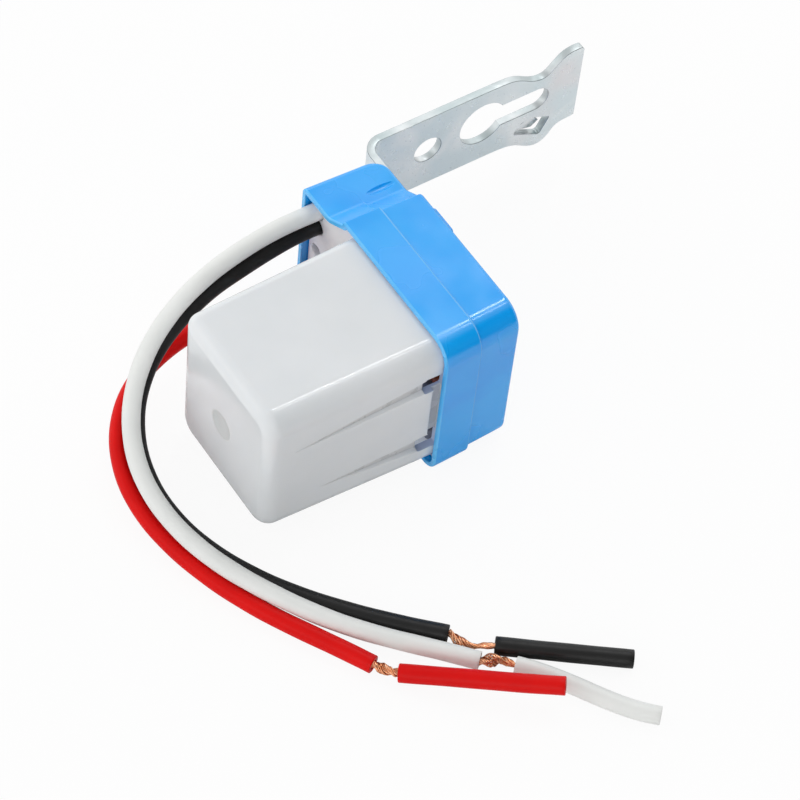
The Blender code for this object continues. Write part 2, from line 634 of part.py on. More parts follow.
TONGUE = [(-13.9, -5.2, 0.0), (-9.9, -3.6, 0.0), (-7.4, -7.1, 1.15), (-8.9, -8.3, 1.15)]
tongue = []
for y, z, back in TONGUE:
    for x in (PLATE_FACE_X - 0.2 - back, X_MIN + 0.2 - back):
        tongue.append((x, PLATE_END_Y + y, PLATE_CENTRE_Z + z))
boolean(bracket, hull("tongue", tongue), "UNION")

# circuit board and components, all facing the front
board = prism("circuit_board", box_outline(-BOARD_HALF_X, BOARD_HALF_X, -BOARD_HALF_Z, BOARD_HALF_Z, 3.6),
    BOARD_FRONT_Y, BOARD_BACK_Y, 1, LAMINATE)


def block(name, x0, z0, size, mat, edge=0.5):
    sx, sy, sz = size
    return loft(name, [
        (SEAT_Y, box_outline(x0, x0 + sx, z0, z0 + sz, edge, 3)),
        (SEAT_Y - sy + edge, box_outline(x0, x0 + sx, z0, z0 + sz, edge, 3)),
        (SEAT_Y - sy, box_outline(x0 + edge, x0 + sx - edge, z0 + edge, z0 + sz - edge, edge, 3)),
    ], mat)


# the layout is in hundredths of the board's half width, its half height and the room's depth
PX = BOARD_HALF_X / 100
PZ = BOARD_HALF_Z / 100
PY = ROOM_DEPTH / 100
PR = min(PX, PZ)
block("relay", -82 * PX, -64 * PZ, (71.5 * PX, 43.5 * PY, 126 * PZ), RELAY_BLUE)
block("film_capacitor", -4 * PX, -85 * PZ, (42 * PX, 34 * PY, 88 * PZ), FILM, 0.9)
can_r = 27.8 * PR
can_length = 35 * PY
turned("electrolytic_capacitor", 1, (57.6 * PX, 52 * PZ), SEAT_Y - can_length, [
    (0.0, can_r - 0.5), (0.12, can_r - 0.14), (0.5, can_r), (can_length - 2.6, can_r), (can_length - 2.1, can_r - 0.35),
    (can_length - 1.6, can_r - 0.35), (can_length - 1.1, can_r), (can_length, can_r),
], CAN)


def lying(name, x, z, length, d, mat):
    # an axial part lying on the board
    r = d / 2
    y = SEAT_Y - r
    profile = [(0.0, r * 0.72), (0.12 * length, r), (0.28 * length, r * 0.9), (0.72 * length, r * 0.9),
        (0.88 * length, r), (length, r * 0.72)]
    return turned(name, 0, (y, z), x - length / 2, profile, mat, 16)


for k in range(4):
    lying(f"diode_{k + 1}", 66.7 * PX, (23 * k - 76) * PZ, 36 * PR, 18 * PR, EPOXY)
lying("zener_diode", 66.7 * PX, 14.6 * PZ, 26.4 * PR, 12.5 * PR, GLASS)
lying("resistor_1", -47 * PX, 78.6 * PZ, 43 * PR, 15.3 * PR, RESISTOR)
lying("resistor_2", -47 * PX, -78.6 * PZ, 43 * PR, 15.3 * PR, RESISTOR)
lying("resistor_3", 16.7 * PX, 16.3 * PZ, 43 * PR, 15.3 * PR, RESISTOR)
flat = [(-5, 31, 0.2), (-5, 43.5, 1.5), (4, 55.5, 1.2), (16.7, 55.5, 1.2), (25.7, 43.5, 1.5), (25.7, 31, 0.2)]
prism("transistor", rounded([(a * PX, b * PZ, r) for a, b, r in flat], 3), SEAT_Y - 13.7 * PY, SEAT_Y, 1, EPOXY)
cell_r = 17.4 * PR
cell_z = 70.5 * PZ
cell_thick = 5.7 * PY
cell_front = SEAT_Y - 54.4 * PY
cell = turned("photoresistor", 1, (4 * PX, cell_z), cell_front,
    [(0.0, cell_r - 0.25), (0.25, cell_r), (cell_thick - 0.2, cell_r), (cell_thick, cell_r - 0.2)], CELL)
for k, x in enumerate((-5 * PX, 13 * PX)):
    leg = prism(f"photoresistor leg {k}", circle(x, cell_z, 0.3, 10), cell_front + cell_thick - 0.6, SEAT_Y, 1)
    boolean(cell, leg, "UNION")

# bared lead cores from the flange holes to the back of the board
PAD_Y = BOARD_BACK_Y + JOINT_GAP
for name, (hole_x, hole_z), pad_z in (
    ("white_core", WHITE_HOLE, 56 * PZ), ("black_core", BLACK_HOLE, 26 * PZ), ("red_core", RED_HOLE, -42 * PZ),
):
    start_y = FLANGE_BACK_Y + 0.1
    route = [
        (hole_x, start_y, hole_z), (hole_x + 0.3, start_y + 2.6, hole_z), (hole_x + 2.4, start_y + 5.4, hole_z),
        (hole_x + 6.0, start_y + 7.0, hole_z * 0.6 + pad_z * 0.4), (-1.0 - BOARD_HALF_X, start_y + 7.4, pad_z),
        (2.5 - BOARD_HALF_X, start_y + 6.2, pad_z), (4.0 - BOARD_HALF_X, PAD_Y + 1.6, pad_z),
        (4.2 - BOARD_HALF_X, PAD_Y, pad_z),
    ]
    tube(name, route, TAIL_D, TINNED, 1.6)

# leads: points of the tube centres, as distance from the lug's outer side, y, height above lying on the surface
def placed(points, lift=0.0):
    top = points[0][2]
    return [(LUG_X + a, y, REST_Z + h + lift * (h / top) ** 2) for a, y, h in points]


WHITE_ROUTE = [
    (3.14, -1.99, 24.12), (2.99, -6.03, 23.87), (3.07, -13.16, 22.82), (3.62, -20.15, 21.19),
    (4.95, -26.77, 19.13), (7.15, -32.78, 16.63), (10.34, -37.94, 13.92), (14.50, -42.03, 11.22),
    (19.49, -44.84, 8.77), (25.11, -46.31, 6.74), (31.17, -46.45, 5.16), (37.47, -45.44, 4.00),
    (43.82, -43.40, 3.18), (50.05, -40.51, 2.56), (56.04, -36.98, 1.92), (61.73, -33.01, 1.23),
    (67.03, -28.57, 0.67), (72.04, -23.77, 0.28), (76.98, -18.87, 0.06), (81.46, -14.80, 0.03),
]
BLACK_ROUTE = [
    (3.40, -1.96, 20.57), (3.44, -5.91, 20.27), (3.68, -12.88, 19.07), (3.94, -19.75, 17.32), (5.08, -26.31, 15.19),
    (7.08, -32.29, 12.71), (10.17, -37.33, 10.03), (14.33, -41.12, 7.39), (19.39, -43.55, 5.02),
    (25.05, -44.63, 3.07), (31.09, -44.44, 1.65), (37.29, -43.11, 0.72), (43.53, -40.77, 0.22),
    (49.65, -37.60, 0.03), (55.56, -33.73, 0.00), (61.15, -29.32, 0.00), (66.38, -24.60, 0.00),
    (71.24, -19.78, 0.00), (74.49, -16.42, 0.02),
]
RED_ROUTE = [
    (3.99, -1.83, 7.67), (3.89, -6.06, 7.67), (3.79, -13.54, 7.61), (3.73, -21.02, 7.29),
    (4.49, -28.18, 6.74), (6.20, -34.65, 5.90), (9.18, -40.02, 4.79), (13.47, -44.04, 3.52),
    (18.80, -46.63, 2.30), (24.84, -47.83, 1.31), (31.29, -47.79, 0.63), (37.95, -46.68, 0.24),
    (44.67, -44.75, 0.06), (51.36, -42.18, 0.00), (57.82, -39.03, 0.00), (63.99, -35.54, 0.02),
    (69.92, -32.16, 0.03), (73.21, -30.40, 0.08),
]
HOLE_START_Y = FLANGE_BACK_Y - 0.2
for name, hole, route, mat in (
    ("white_wire", WHITE_HOLE, WHITE_ROUTE, WHITE), ("black_wire", BLACK_HOLE, BLACK_ROUTE, BLACK),
    ("red_wire", RED_HOLE, RED_ROUTE, RED),
):
    lift = hole[1] - REST_Z - route[0][2]
    tube(name, [(hole[0], HOLE_START_Y, hole[1]), (hole[0], 0.8, hole[1])] + placed(route, lift), WIRE_D, mat)

# bare copper between the insulation's end and the pulled sleeve
tube("white_strands", placed([(81.80, -14.51, 0.12), (82.45, -13.16, 0.27), (83.10, -12.06, 0.17), (83.84, -11.11, 0.02),
    (84.74, -10.51, 0.02)]), STRAND_D, COPPER, 0.9)
tube("black_strands", placed([(74.94, -16.01, 0.02), (76.19, -15.71, -0.08), (77.29, -15.16, -0.33), (78.29, -14.16, -0.43),
    (79.09, -12.76, -0.23), (79.94, -11.51, -0.03)]), STRAND_D, COPPER, 1.2)
tube("red_strands", placed([(73.55, -30.11, 0.09), (74.49, -29.51, 0.02), (75.50, -28.86, 0.12), (76.45, -28.06, 0.27)]),
    STRAND_D, COPPER, 0.9)

hose("white_sleeve", placed([(85.12, -10.19, -0.01), (88.30, -7.46, -0.01), (91.09, -5.46, -0.01), (94.11, -3.51, -0.01),
    (97.29, -1.56, -0.01), (100.19, 0.39, -0.01), (102.83, 2.48, -0.01), (105.37, 4.99, -0.01)]), WIRE_D, SLEEVE_BORE_D, WHITE)
hose("black_sleeve", placed([(80.25, -10.99, -0.01), (87.28, -1.72, -0.01), (94.15, 7.47, -0.01)]),
    WIRE_D, SLEEVE_BORE_D, BLACK)
hose("red_sleeve", placed([(76.80, -27.81, 0.37), (81.20, -22.67, 1.27), (85.44, -17.72, 2.12), (89.76, -12.83, 3.07),
    (94.56, -7.12, 4.12)]), WIRE_D, SLEEVE_BORE_D, RED)

# move everything so that the solid's footprint is centred and its underside is at height zero
for obj in bpy.data.objects:
    obj.data.transform(Matrix.Translation(SHIFT * MM))
    if obj.type == "CURVE":
        obj.data.resolution_u = 1
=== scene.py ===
# Looks, light and camera of the photocell switch, its shapes as in the solids but with finer edges
import math

import bmesh
import bpy
import numpy as np
from mathutils import Matrix, Vector


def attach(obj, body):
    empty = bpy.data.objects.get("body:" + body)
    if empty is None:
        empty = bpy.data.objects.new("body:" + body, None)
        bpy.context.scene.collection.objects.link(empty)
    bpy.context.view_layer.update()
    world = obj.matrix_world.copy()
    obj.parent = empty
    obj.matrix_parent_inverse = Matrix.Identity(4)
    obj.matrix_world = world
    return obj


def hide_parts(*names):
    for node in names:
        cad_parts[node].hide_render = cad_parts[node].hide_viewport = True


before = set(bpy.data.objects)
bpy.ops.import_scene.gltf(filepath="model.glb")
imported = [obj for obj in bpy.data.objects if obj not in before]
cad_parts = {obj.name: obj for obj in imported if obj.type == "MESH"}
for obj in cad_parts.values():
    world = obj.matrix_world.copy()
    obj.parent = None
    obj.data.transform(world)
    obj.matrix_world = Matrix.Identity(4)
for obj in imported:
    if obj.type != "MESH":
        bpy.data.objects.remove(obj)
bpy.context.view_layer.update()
scene = bpy.context.scene

# lengths are in millimetres from the centre of the cap's mouth; SHIFT moves them to the footprint's centre
MM = 0.001
SHIFT = Vector((9.375, -15.2, 17.0))

# camera at the photograph's place, angles in degrees, focal length and shift in pixels of the picture
PICTURE_SIZE = 800
SENSOR_WIDTH = 36.0
FOCAL_LENGTH = 3351.926
SHIFT_RIGHT = 11.806
SHIFT_UP = -51.063
CAMERA_AZIMUTH = 51.941
CAMERA_ELEVATION = 52.196
CAMERA_ROLL = 6.467
CAMERA_DISTANCE = 571.428
NEAR_CLIP_M = 0.01
FAR_CLIP_M = 20.0


def add_object(name, data):
    obj = bpy.data.objects.new(name, data)
    scene.collection.objects.link(obj)
    return obj


def set_camera():
    azimuth = math.radians(CAMERA_AZIMUTH)
    elevation = math.radians(CAMERA_ELEVATION)
    roll = math.radians(CAMERA_ROLL)
    run = math.cos(elevation)
    back = Vector((math.sin(azimuth) * run, -math.cos(azimuth) * run, math.sin(elevation)))
    level = Vector((math.cos(azimuth), math.sin(azimuth), 0.0))
    above = back.cross(level)
    right = level * math.cos(roll) + above * math.sin(roll)
    up = above * math.cos(roll) - level * math.sin(roll)
    data = bpy.data.cameras.new("camera")
    data.sensor_width = SENSOR_WIDTH
    data.lens = FOCAL_LENGTH / PICTURE_SIZE * SENSOR_WIDTH
    data.shift_x = SHIFT_RIGHT / PICTURE_SIZE
    data.shift_y = SHIFT_UP / PICTURE_SIZE
    data.clip_start = NEAR_CLIP_M
    data.clip_end = FAR_CLIP_M
    camera = add_object("camera", data)
    place = (back * CAMERA_DISTANCE + SHIFT) * MM
    camera.matrix_world = Matrix((
        (right.x, up.x, back.x, place.x),
        (right.y, up.y, back.y, place.y),
        (right.z, up.z, back.z, place.z),
        (0, 0, 0, 1),
    ))
    scene.camera = camera


set_camera()


# meshes
def raw_mesh(name, verts, faces):
    # one closed mesh with its faces turned out, from points in the working frame
    mesh = bpy.data.meshes.new(name)
    mesh.from_pydata([(Vector(v) + SHIFT) * MM for v in verts], [], faces)
    bm = bmesh.new()
    bm.from_mesh(mesh)
    bmesh.ops.remove_doubles(bm, verts=bm.verts, dist=1e-7)
    bmesh.ops.recalc_face_normals(bm, faces=bm.faces)
    if bm.calc_volume(signed=True) < 0:
        bmesh.ops.reverse_faces(bm, faces=bm.faces)
    bm.to_mesh(mesh)
    bm.free()
    return mesh


def evaluated_mesh(obj):
    bpy.context.view_layer.update()
    return bpy.data.meshes.new_from_object(obj.evaluated_get(bpy.context.evaluated_depsgraph_get()))


def combine(base, steps):
    # applies the cuts and unions in turn and returns the finished mesh, without the helper objects
    for operation, tool in steps:
        mod = base.modifiers.new(tool.name, "BOOLEAN")
        mod.operation = operation
        mod.solver = "EXACT"
        mod.object = tool
    mesh = evaluated_mesh(base)
    for obj in [base] + [tool for _, tool in steps]:
        bpy.data.objects.remove(obj, do_unlink=True)
    return mesh


def finish_mesh(name, mesh, materials, angle):
    # edges sharper than the angle in degrees stay sharp
    mesh.name = name
    mesh.shade_smooth()
    mesh.set_sharp_from_angle(angle=math.radians(angle))
    obj = add_object(name, mesh)
    for mat in materials:
        mesh.materials.append(mat)
    weighted = obj.modifiers.new("even shading", "WEIGHTED_NORMAL")
    weighted.keep_sharp = True
    weighted.weight = 60
    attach(obj, "root")
    return obj


def quarter(steps, first=0):
    # angles of a quarter turn
    return [math.pi / 2 * k / steps for k in range(first, steps + 1)]


def rounded(corners, seg=12):
    # closed outline from (a, b, radius) corners
    n = len(corners)
    pts = []
    for i in range(n):
        p = Vector(corners[i][:2])
        before = Vector(corners[i - 1][:2]) - p
        after = Vector(corners[(i + 1) % n][:2]) - p
        turn = before.angle(after)
        limit = 0.48 * min(before.length, after.length) * math.tan(turn / 2)
        r = max(min(corners[i][2], limit), 0.02)
        u = before.normalized()
        v = after.normalized()
        reach = r / math.tan(turn / 2)
        centre = p + (u + v).normalized() * (r / math.sin(turn / 2))
        start = p + u * reach - centre
        end = p + v * reach - centre
        sweep = math.pi - turn
        for k in range(seg + 1):
            t = k / seg
            blend = start * math.sin((1 - t) * sweep) + end * math.sin(t * sweep)
            pts.append(centre + blend / math.sin(sweep))
    return [(q.x, q.y) for q in pts]


def box_outline(a0, a1, b0, b1, r, seg=12):
    return rounded([(a1, b1, r), (a0, b1, r), (a0, b0, r), (a1, b0, r)], seg)


def circle(a, b, r, seg=48):
    angles = [2 * math.pi * k / seg for k in range(seg)]
    return [(a + r * math.cos(t), b + r * math.sin(t)) for t in angles]


def loft(name, sections):
    # sections are (y, outline) with equally many points
    n = len(sections[0][1])
    verts = [(x, y, z) for y, outline in sections for x, z in outline]
    faces = [tuple(range(n)), tuple(range(len(verts) - n, len(verts)))]
    for s in range(len(sections) - 1):
        for k in range(n):
            m = (k + 1) % n
            faces.append((s * n + k, s * n + m, (s + 1) * n + m, (s + 1) * n + k))
    return add_object(name, raw_mesh(name, verts, faces))


def prism(name, outline, low, high, axis):
    # outline drawn out along the axis with this number
    n = len(outline)
    verts = []
    for level in (low, high):
        for a, b in outline:
            v = [a, b]
            v.insert(axis, level)
            verts.append(tuple(v))
    faces = [tuple(range(n)), tuple(range(n, 2 * n))]
    for k in range(n):
        m = (k + 1) % n
        faces.append((k, m, n + m, n + k))
    return add_object(name, raw_mesh(name, verts, faces))


def hull(name, points):
    mesh = bpy.data.meshes.new(name)
    bm = bmesh.new()
    for p in points:
        bm.verts.new((Vector(p) + SHIFT) * MM)
    bmesh.ops.convex_hull(bm, input=bm.verts)
    bmesh.ops.recalc_face_normals(bm, faces=bm.faces)
    bm.to_mesh(mesh)
    bm.free()
    return add_object(name, mesh)


def smooth_path(points, spacing):
    # natural cubic curve through the route points, sampled at an even spacing
    p = np.array([tuple(q) for q in points], float)
    s = np.r_[0.0, np.cumsum(np.linalg.norm(np.diff(p, axis=0), axis=1))]
    n = len(p)
    h = np.diff(s)
    a = np.eye(n)
    rhs = np.zeros_like(p)
    for i in range(1, n - 1):
        a[i, i - 1] = h[i - 1]
        a[i, i] = 2 * (h[i - 1] + h[i])
        a[i, i + 1] = h[i]
        rhs[i] = 6 * ((p[i + 1] - p[i]) / h[i] - (p[i] - p[i - 1]) / h[i - 1])
    m = np.linalg.solve(a, rhs)
    count = max(int(round(s[-1] / spacing)), 2) + 1
    out = []
    for t in np.linspace(0, s[-1], count):
        i = min(int(np.searchsorted(s, t, side="right")) - 1, n - 2)
        u = t - s[i]
        w = s[i + 1] - t
        q = (m[i] * w ** 3 + m[i + 1] * u ** 3) / (6 * h[i])
        q = q + (p[i] / h[i] - m[i] * h[i] / 6) * w + (p[i + 1] / h[i] - m[i + 1] * h[i] / 6) * u
        out.append(Vector(q))
    return out


def frames(path):
    # tangent and two cross directions at each point, turned as little as possible along the path
    out = []
    side = Vector((0, 0, 1))
    for i in range(len(path)):
        ahead = (path[min(i + 1, len(path) - 1)] - path[max(i - 1, 0)]).normalized()
        side = side - ahead * side.dot(ahead)
        if side.length < 1e-6:
            side = ahead.orthogonal()
        side.normalize()
        out.append((ahead, side.copy(), ahead.cross(side)))
    return out


def swept(path, profile, seg):
    # profile is a list of (index along the path, offset along the tangent, radius), radius 0 closes the end
    axes = frames(path)
    verts = []
    faces = []
    rings = []
    for index, along, radius in profile:
        ahead, side, over = axes[index]
        centre = path[index] + ahead * along
        if radius <= 1e-6:
            rings.append([len(verts)])
            verts.append(tuple(centre))
            continue
        ring = []
        for k in range(seg):
            t = 2 * math.pi * k / seg
            ring.append(len(verts))
            verts.append(tuple(centre + (side * math.cos(t) + over * math.sin(t)) * radius))
        rings.append(ring)
    for a, b in zip(rings, rings[1:]):
        for k in range(seg):
            m = (k + 1) % seg
            if len(a) == 1:
                faces.append((a[0], b[m], b[k]))
            elif len(b) == 1:
                faces.append((a[k], a[m], b[0]))
            else:
                faces.append((a[k], a[m], b[m], b[k]))
    return verts, faces


# node materials
def plug(node, key, value):
    # another node's output is linked, a number or colour is set on the socket itself
    socket = node.inputs[key]
    if hasattr(value, "links"):
        node.id_data.links.new(value, socket)
    elif isinstance(value, tuple) and len(value) == 3 and socket.type == "RGBA":
        socket.default_value = (*value, 1.0)
    else:
        socket.default_value = value


def add_node(tree, kind, inputs, **settings):
    node = tree.nodes.new(kind)
    for key, value in settings.items():
        setattr(node, key, value)
    for key, value in inputs.items():
        plug(node, key, value)
    return node


def map_range(tree, source, low, high, at_low, at_high, interpolation="LINEAR"):
    inputs = {"Value": source, "From Min": low, "From Max": high, "To Min": at_low, "To Max": at_high}
    return add_node(tree, "ShaderNodeMapRange", inputs, interpolation_type=interpolation).outputs["Result"]


class Nodes:
    def __init__(self, name):
        self.mat = bpy.data.materials.new(name)
        self.mat.use_nodes = True
        self.tree = self.mat.node_tree
        self.shader = self.tree.nodes["Principled BSDF"]
        self.place = self.tree.nodes.new("ShaderNodeTexCoord").outputs["Object"]

    def stretch(self, scale):
        inputs = {"Scale": scale, "Vector": self.place}
        return add_node(self.tree, "ShaderNodeMapping", inputs).outputs["Vector"]

    def noise(self, scale, detail=3.0, rough=0.55, vector=None, distortion=0.0):
        return add_node(self.tree, "ShaderNodeTexNoise", {
            "Scale": scale, "Detail": detail, "Roughness": rough, "Distortion": distortion,
            "Vector": vector or self.place,
        }).outputs["Fac"]

    def remap(self, source, low, high, to_low=0.0, to_high=1.0):
        return map_range(self.tree, source, low, high, to_low, to_high)

    def mix(self, factor, a, b):
        # 6, 7 and 2 are the colour sockets of a mix node
        inputs = {"Factor": factor, 6: a, 7: b}
        return add_node(self.tree, "ShaderNodeMix", inputs, data_type="RGBA").outputs[2]

    def bump(self, source, strength, depth, before=None):
        inputs = {"Strength": strength, "Distance": depth, "Height": source}
        node = add_node(self.tree, "ShaderNodeBump", inputs)
        if before:
            plug(node, "Normal", before)
        return node.outputs["Normal"]

    def finish(self, **values):
        for key, value in values.items():
            plug(self.shader, key.replace("_", " "), value)
        return self.mat


PLASTIC_IOR = 1.5


def blue_moulding(name, low, high):
    n = Nodes(name)
    flow = n.noise(60.0, 3.0, 0.5, n.stretch((1.0, 0.55, 1.0)), 1.2)
    colour = n.mix(n.remap(flow, 0.38, 0.62), low, high)
    shine = n.remap(n.noise(95.0, 2.0, 0.45), 0.33, 0.67, 0.12, 0.31)
    wave = n.bump(n.noise(48.0, 2.0, 0.5, distortion=0.6), 0.16, 0.0006)
    grain = n.bump(n.noise(2600.0, 3.0), 0.10, 0.00003, wave)
    return n.finish(Base_Color=colour, Roughness=shine, Normal=grain, IOR=PLASTIC_IOR, Specular_IOR_Level=0.9)


def milky_moulding(name, low, high, rough, scatter, grain_depth, grain_scale=1500.0, glow=0.0):
    n = Nodes(name)
    colour = n.mix(n.remap(n.noise(70.0, 3.0), 0.3, 0.7), low, high)
    shine = n.remap(n.noise(300.0, 4.0, 0.6), 0.3, 0.7, *rough)
    wave = n.bump(n.noise(45.0, 1.0), 0.25, 0.0005)
    grain = n.bump(n.noise(grain_scale, 3.0, 0.6), 0.2, grain_depth, wave)
    # glow, where given, is painted light: the faces shine though no lamp is there
    return n.finish(
        Base_Color=colour, Roughness=shine, Normal=grain, IOR=PLASTIC_IOR, Subsurface_Weight=scatter,
        Subsurface_Radius=(1.0, 0.95, 0.9), Subsurface_Scale=0.0016, Emission_Color=(0.80, 0.87, 1.0),
        Emission_Strength=glow,
    )


def zinc(name, low, high, rough, grain_depth):
    n = Nodes(name)
    tint = n.mix(n.remap(n.noise(75.0, 3.0, 0.5, distortion=0.6), 0.38, 0.62), low, high)
    rosy_places = n.remap(n.noise(38.0, 2.0, 0.5, distortion=1.0), 0.55, 0.8, 0.0, 0.7)
    rosy = n.mix(rosy_places, tint, (0.86, 0.79, 0.79))
    speck = n.mix(n.remap(n.noise(2100.0, 2.0), 0.66, 0.8), rosy, (0.50, 0.55, 0.59))
    shine = n.remap(n.noise(500.0, 5.0, 0.7), 0.3, 0.7, *rough)
    rolled = n.bump(n.noise(900.0, 3.0, 0.6, n.stretch((1.0, 0.18, 1.0))), 0.25, grain_depth)
    return n.finish(Base_Color=speck, Roughness=shine, Metallic=1.0, Normal=rolled)


def insulation(name, low, high, rough, gloss):
    n = Nodes(name)
    colour = n.mix(n.remap(n.noise(140.0, 4.0), 0.35, 0.7), low, high)
    shine = n.remap(n.noise(700.0, 4.0, 0.7), 0.3, 0.7, rough - 0.05, rough + 0.08)
    wave = n.bump(n.noise(160.0, 2.0), 0.35, 0.0002)
    grain = n.bump(n.noise(2400.0, 3.0), 0.25, 0.00003, wave)
    return n.finish(
        Base_Color=colour, Roughness=shine, Normal=grain, IOR=PLASTIC_IOR, Specular_IOR_Level=gloss,
    )


def bare_copper():
    n = Nodes("bare copper strands")
    colour = n.mix(n.remap(n.noise(900.0, 3.0), 0.35, 0.65), (0.72, 0.30, 0.14), (0.93, 0.52, 0.32))
    shine = n.remap(n.noise(1500.0, 3.0), 0.3, 0.7, 0.22, 0.40)
    return n.finish(Base_Color=colour, Roughness=shine, Metallic=1.0)


def plain(name, low, high, rough, metallic=0.0, scale=400.0, transmission=0.0):
    n = Nodes(name)
    colour = n.mix(n.remap(n.noise(scale, 4.0), 0.35, 0.65), low, high)
    shine = n.remap(n.noise(scale * 2.0, 4.0, 0.7), 0.3, 0.7, rough * 0.85, rough * 1.15)
    grain = n.bump(n.noise(scale * 5.0, 3.0), 0.3, 0.00003)
    return n.finish(
        Base_Color=colour, Roughness=shine, Metallic=metallic, Normal=grain, Transmission_Weight=transmission,
    )


BLUE = blue_moulding("blue moulding", (0.0, 0.365, 0.98), (0.001, 0.41, 1.0))
# lighter blue for the mouth's rim and the step, a painted highlight along these edges
BLUE_RIM_HIGHLIGHT = blue_moulding("blue moulding, painted highlight at rims", (0.05, 0.47, 1.0), (0.10, 0.54, 1.0))
MILKY = milky_moulding(
    "milky moulding", (0.745, 0.77, 0.785), (0.785, 0.805, 0.82), rough=(0.09, 0.15), scatter=0.6,
    grain_depth=0.00001,
)
# floors of the grooves and the channel painted darker grey, a painted shade of the recesses over the dark
# inside
THIN_WALL_SHADE = milky_moulding(
    "thin milky wall, painted shade", (0.58, 0.59, 0.595), (0.65, 0.66, 0.665), rough=(0.22, 0.35), scatter=0.3,
    grain_depth=0.00002,
)
# the front dimple's dish painted darker grey, a painted shade in the hollow
DIMPLE_SHADE = milky_moulding(
    "dimple", (0.62, 0.64, 0.64), (0.66, 0.68, 0.68), rough=(0.3, 0.4), scatter=0.6, grain_depth=0.00002,
)
# walls of the windows painted darker grey-violet, a painted shade of the dark openings
WINDOW_PAINTED_SHADE = milky_moulding(
    "window walls, painted shade", (0.45, 0.53, 0.69), (0.53, 0.60, 0.77), rough=(0.3, 0.45), scatter=0.1,
    grain_depth=0.00002,
)
# painted light: the inside faces glow, standing in for the light that the milky walls let through, on their
# inside only
INSIDE_PAINTED_GLOW = milky_moulding(
    "inside of the milky walls, painted glow", (0.80, 0.815, 0.82), (0.85, 0.86, 0.865), rough=(0.3, 0.4), scatter=0.0,
    grain_depth=0.00002, glow=0.22,
)
FROSTED = milky_moulding(
    "frosted flange", (0.72, 0.74, 0.80), (0.96, 0.96, 0.98), rough=(0.42, 0.6), scatter=0.7,
    grain_depth=0.0003, grain_scale=700.0,
)
ZINC = zinc("zinc plated face", (0.73, 0.81, 0.835), (0.87, 0.90, 0.905), (0.24, 0.38), 0.00004)
# thin corner lines painted dark, a painted shade outlining the sheet's edges
ZINC_RIM_SHADE = zinc("zinc plated corner lines, painted shade", (0.24, 0.29, 0.31), (0.40, 0.44, 0.46), (0.35, 0.5), 0.00012)
ZINC_EDGE = zinc("zinc plated sheared edge", (0.48, 0.55, 0.56), (0.68, 0.71, 0.72), (0.30, 0.5), 0.00012)
WHITE = insulation("white insulation", (0.79, 0.805, 0.785), (0.84, 0.85, 0.83), 0.40, 0.5)
BLACK = insulation("black insulation", (0.005, 0.005, 0.005), (0.010, 0.010, 0.010), 0.38, 0.3)
RED = insulation("red insulation", (0.68, 0.001, 0.001), (0.76, 0.003, 0.002), 0.36, 0.15)
COPPER = bare_copper()

# leads: each route point is x from the lug's side, y, and height over the centre of a lead that lies down
LUG_X = -28.8
REST_Z = -15.37
WHITE_HOLE = (-25.6, 9.2)
BLACK_HOLE = (-25.4, 5.5)
SPARE_HOLE = (-25.1, -1.0)
RED_HOLE = (-24.6, -7.2)
HOLE_START_Y = 3.2
HOLE_END_Y = 0.8
WIRE_D = 3.2
WIRE_R = WIRE_D / 2
BORE_R = 0.86
TUBE_STEP = 1.2
TUBE_SIDES = 32
TUBE_SHARP = 50.0
# rounded outer edge of a cut end: distance along the lead from the cut, change of radius
CUT_EDGE = [(-0.12, 0.0), (-0.03, -0.05), (0.0, -0.12)]
STRAND_STEP = 0.22
STRAND_ROOT = 0.7
FILAMENTS = 16
FILAMENT_D = 0.26
FILAMENT_SIDES = 7
HANK_RING = 0.24
FILAMENT_RING = 0.26
WHITE_ROUTE = [
    (3.14, -1.99, 24.12), (2.99, -6.03, 23.87), (3.07, -13.16, 22.82), (3.62, -20.15, 21.19),
    (4.95, -26.77, 19.13), (7.15, -32.78, 16.63), (10.34, -37.94, 13.92), (14.50, -42.03, 11.22),
    (19.49, -44.84, 8.77), (25.11, -46.31, 6.74), (31.17, -46.45, 5.16), (37.47, -45.44, 4.00),
    (43.82, -43.40, 3.18), (50.05, -40.51, 2.56), (56.04, -36.98, 1.92), (61.73, -33.01, 1.23),
    (67.03, -28.57, 0.67), (72.04, -23.77, 0.28), (76.98, -18.87, 0.06), (81.46, -14.80, 0.03),
]
BLACK_ROUTE = [
    (3.40, -1.96, 20.57), (3.44, -5.91, 20.27), (3.68, -12.88, 19.07), (3.94, -19.75, 17.32),
    (5.08, -26.31, 15.19),
    (7.08, -32.29, 12.71), (10.17, -37.33, 10.03), (14.33, -41.12, 7.39), (19.39, -43.55, 5.02),
    (25.05, -44.63, 3.07), (31.09, -44.44, 1.65), (37.29, -43.11, 0.72), (43.53, -40.77, 0.22),
    (49.65, -37.60, 0.03), (55.56, -33.73, 0.00), (61.15, -29.32, 0.00), (66.38, -24.60, 0.00),
    (71.24, -19.78, 0.00), (74.49, -16.42, 0.02),
]
RED_ROUTE = [
    (3.99, -1.83, 7.67), (3.89, -6.06, 7.67), (3.79, -13.54, 7.61), (3.73, -21.02, 7.29),
    (4.49, -28.18, 6.74), (6.20, -34.65, 5.90), (9.18, -40.02, 4.79), (13.47, -44.04, 3.52),
    (18.80, -46.63, 2.30), (24.84, -47.83, 1.31), (31.29, -47.79, 0.63), (37.95, -46.68, 0.24),
    (44.67, -44.75, 0.06), (51.36, -42.18, 0.00), (57.82, -39.03, 0.00), (63.99, -35.54, 0.02),
    (69.92, -32.16, 0.03), (73.21, -30.40, 0.08),
]
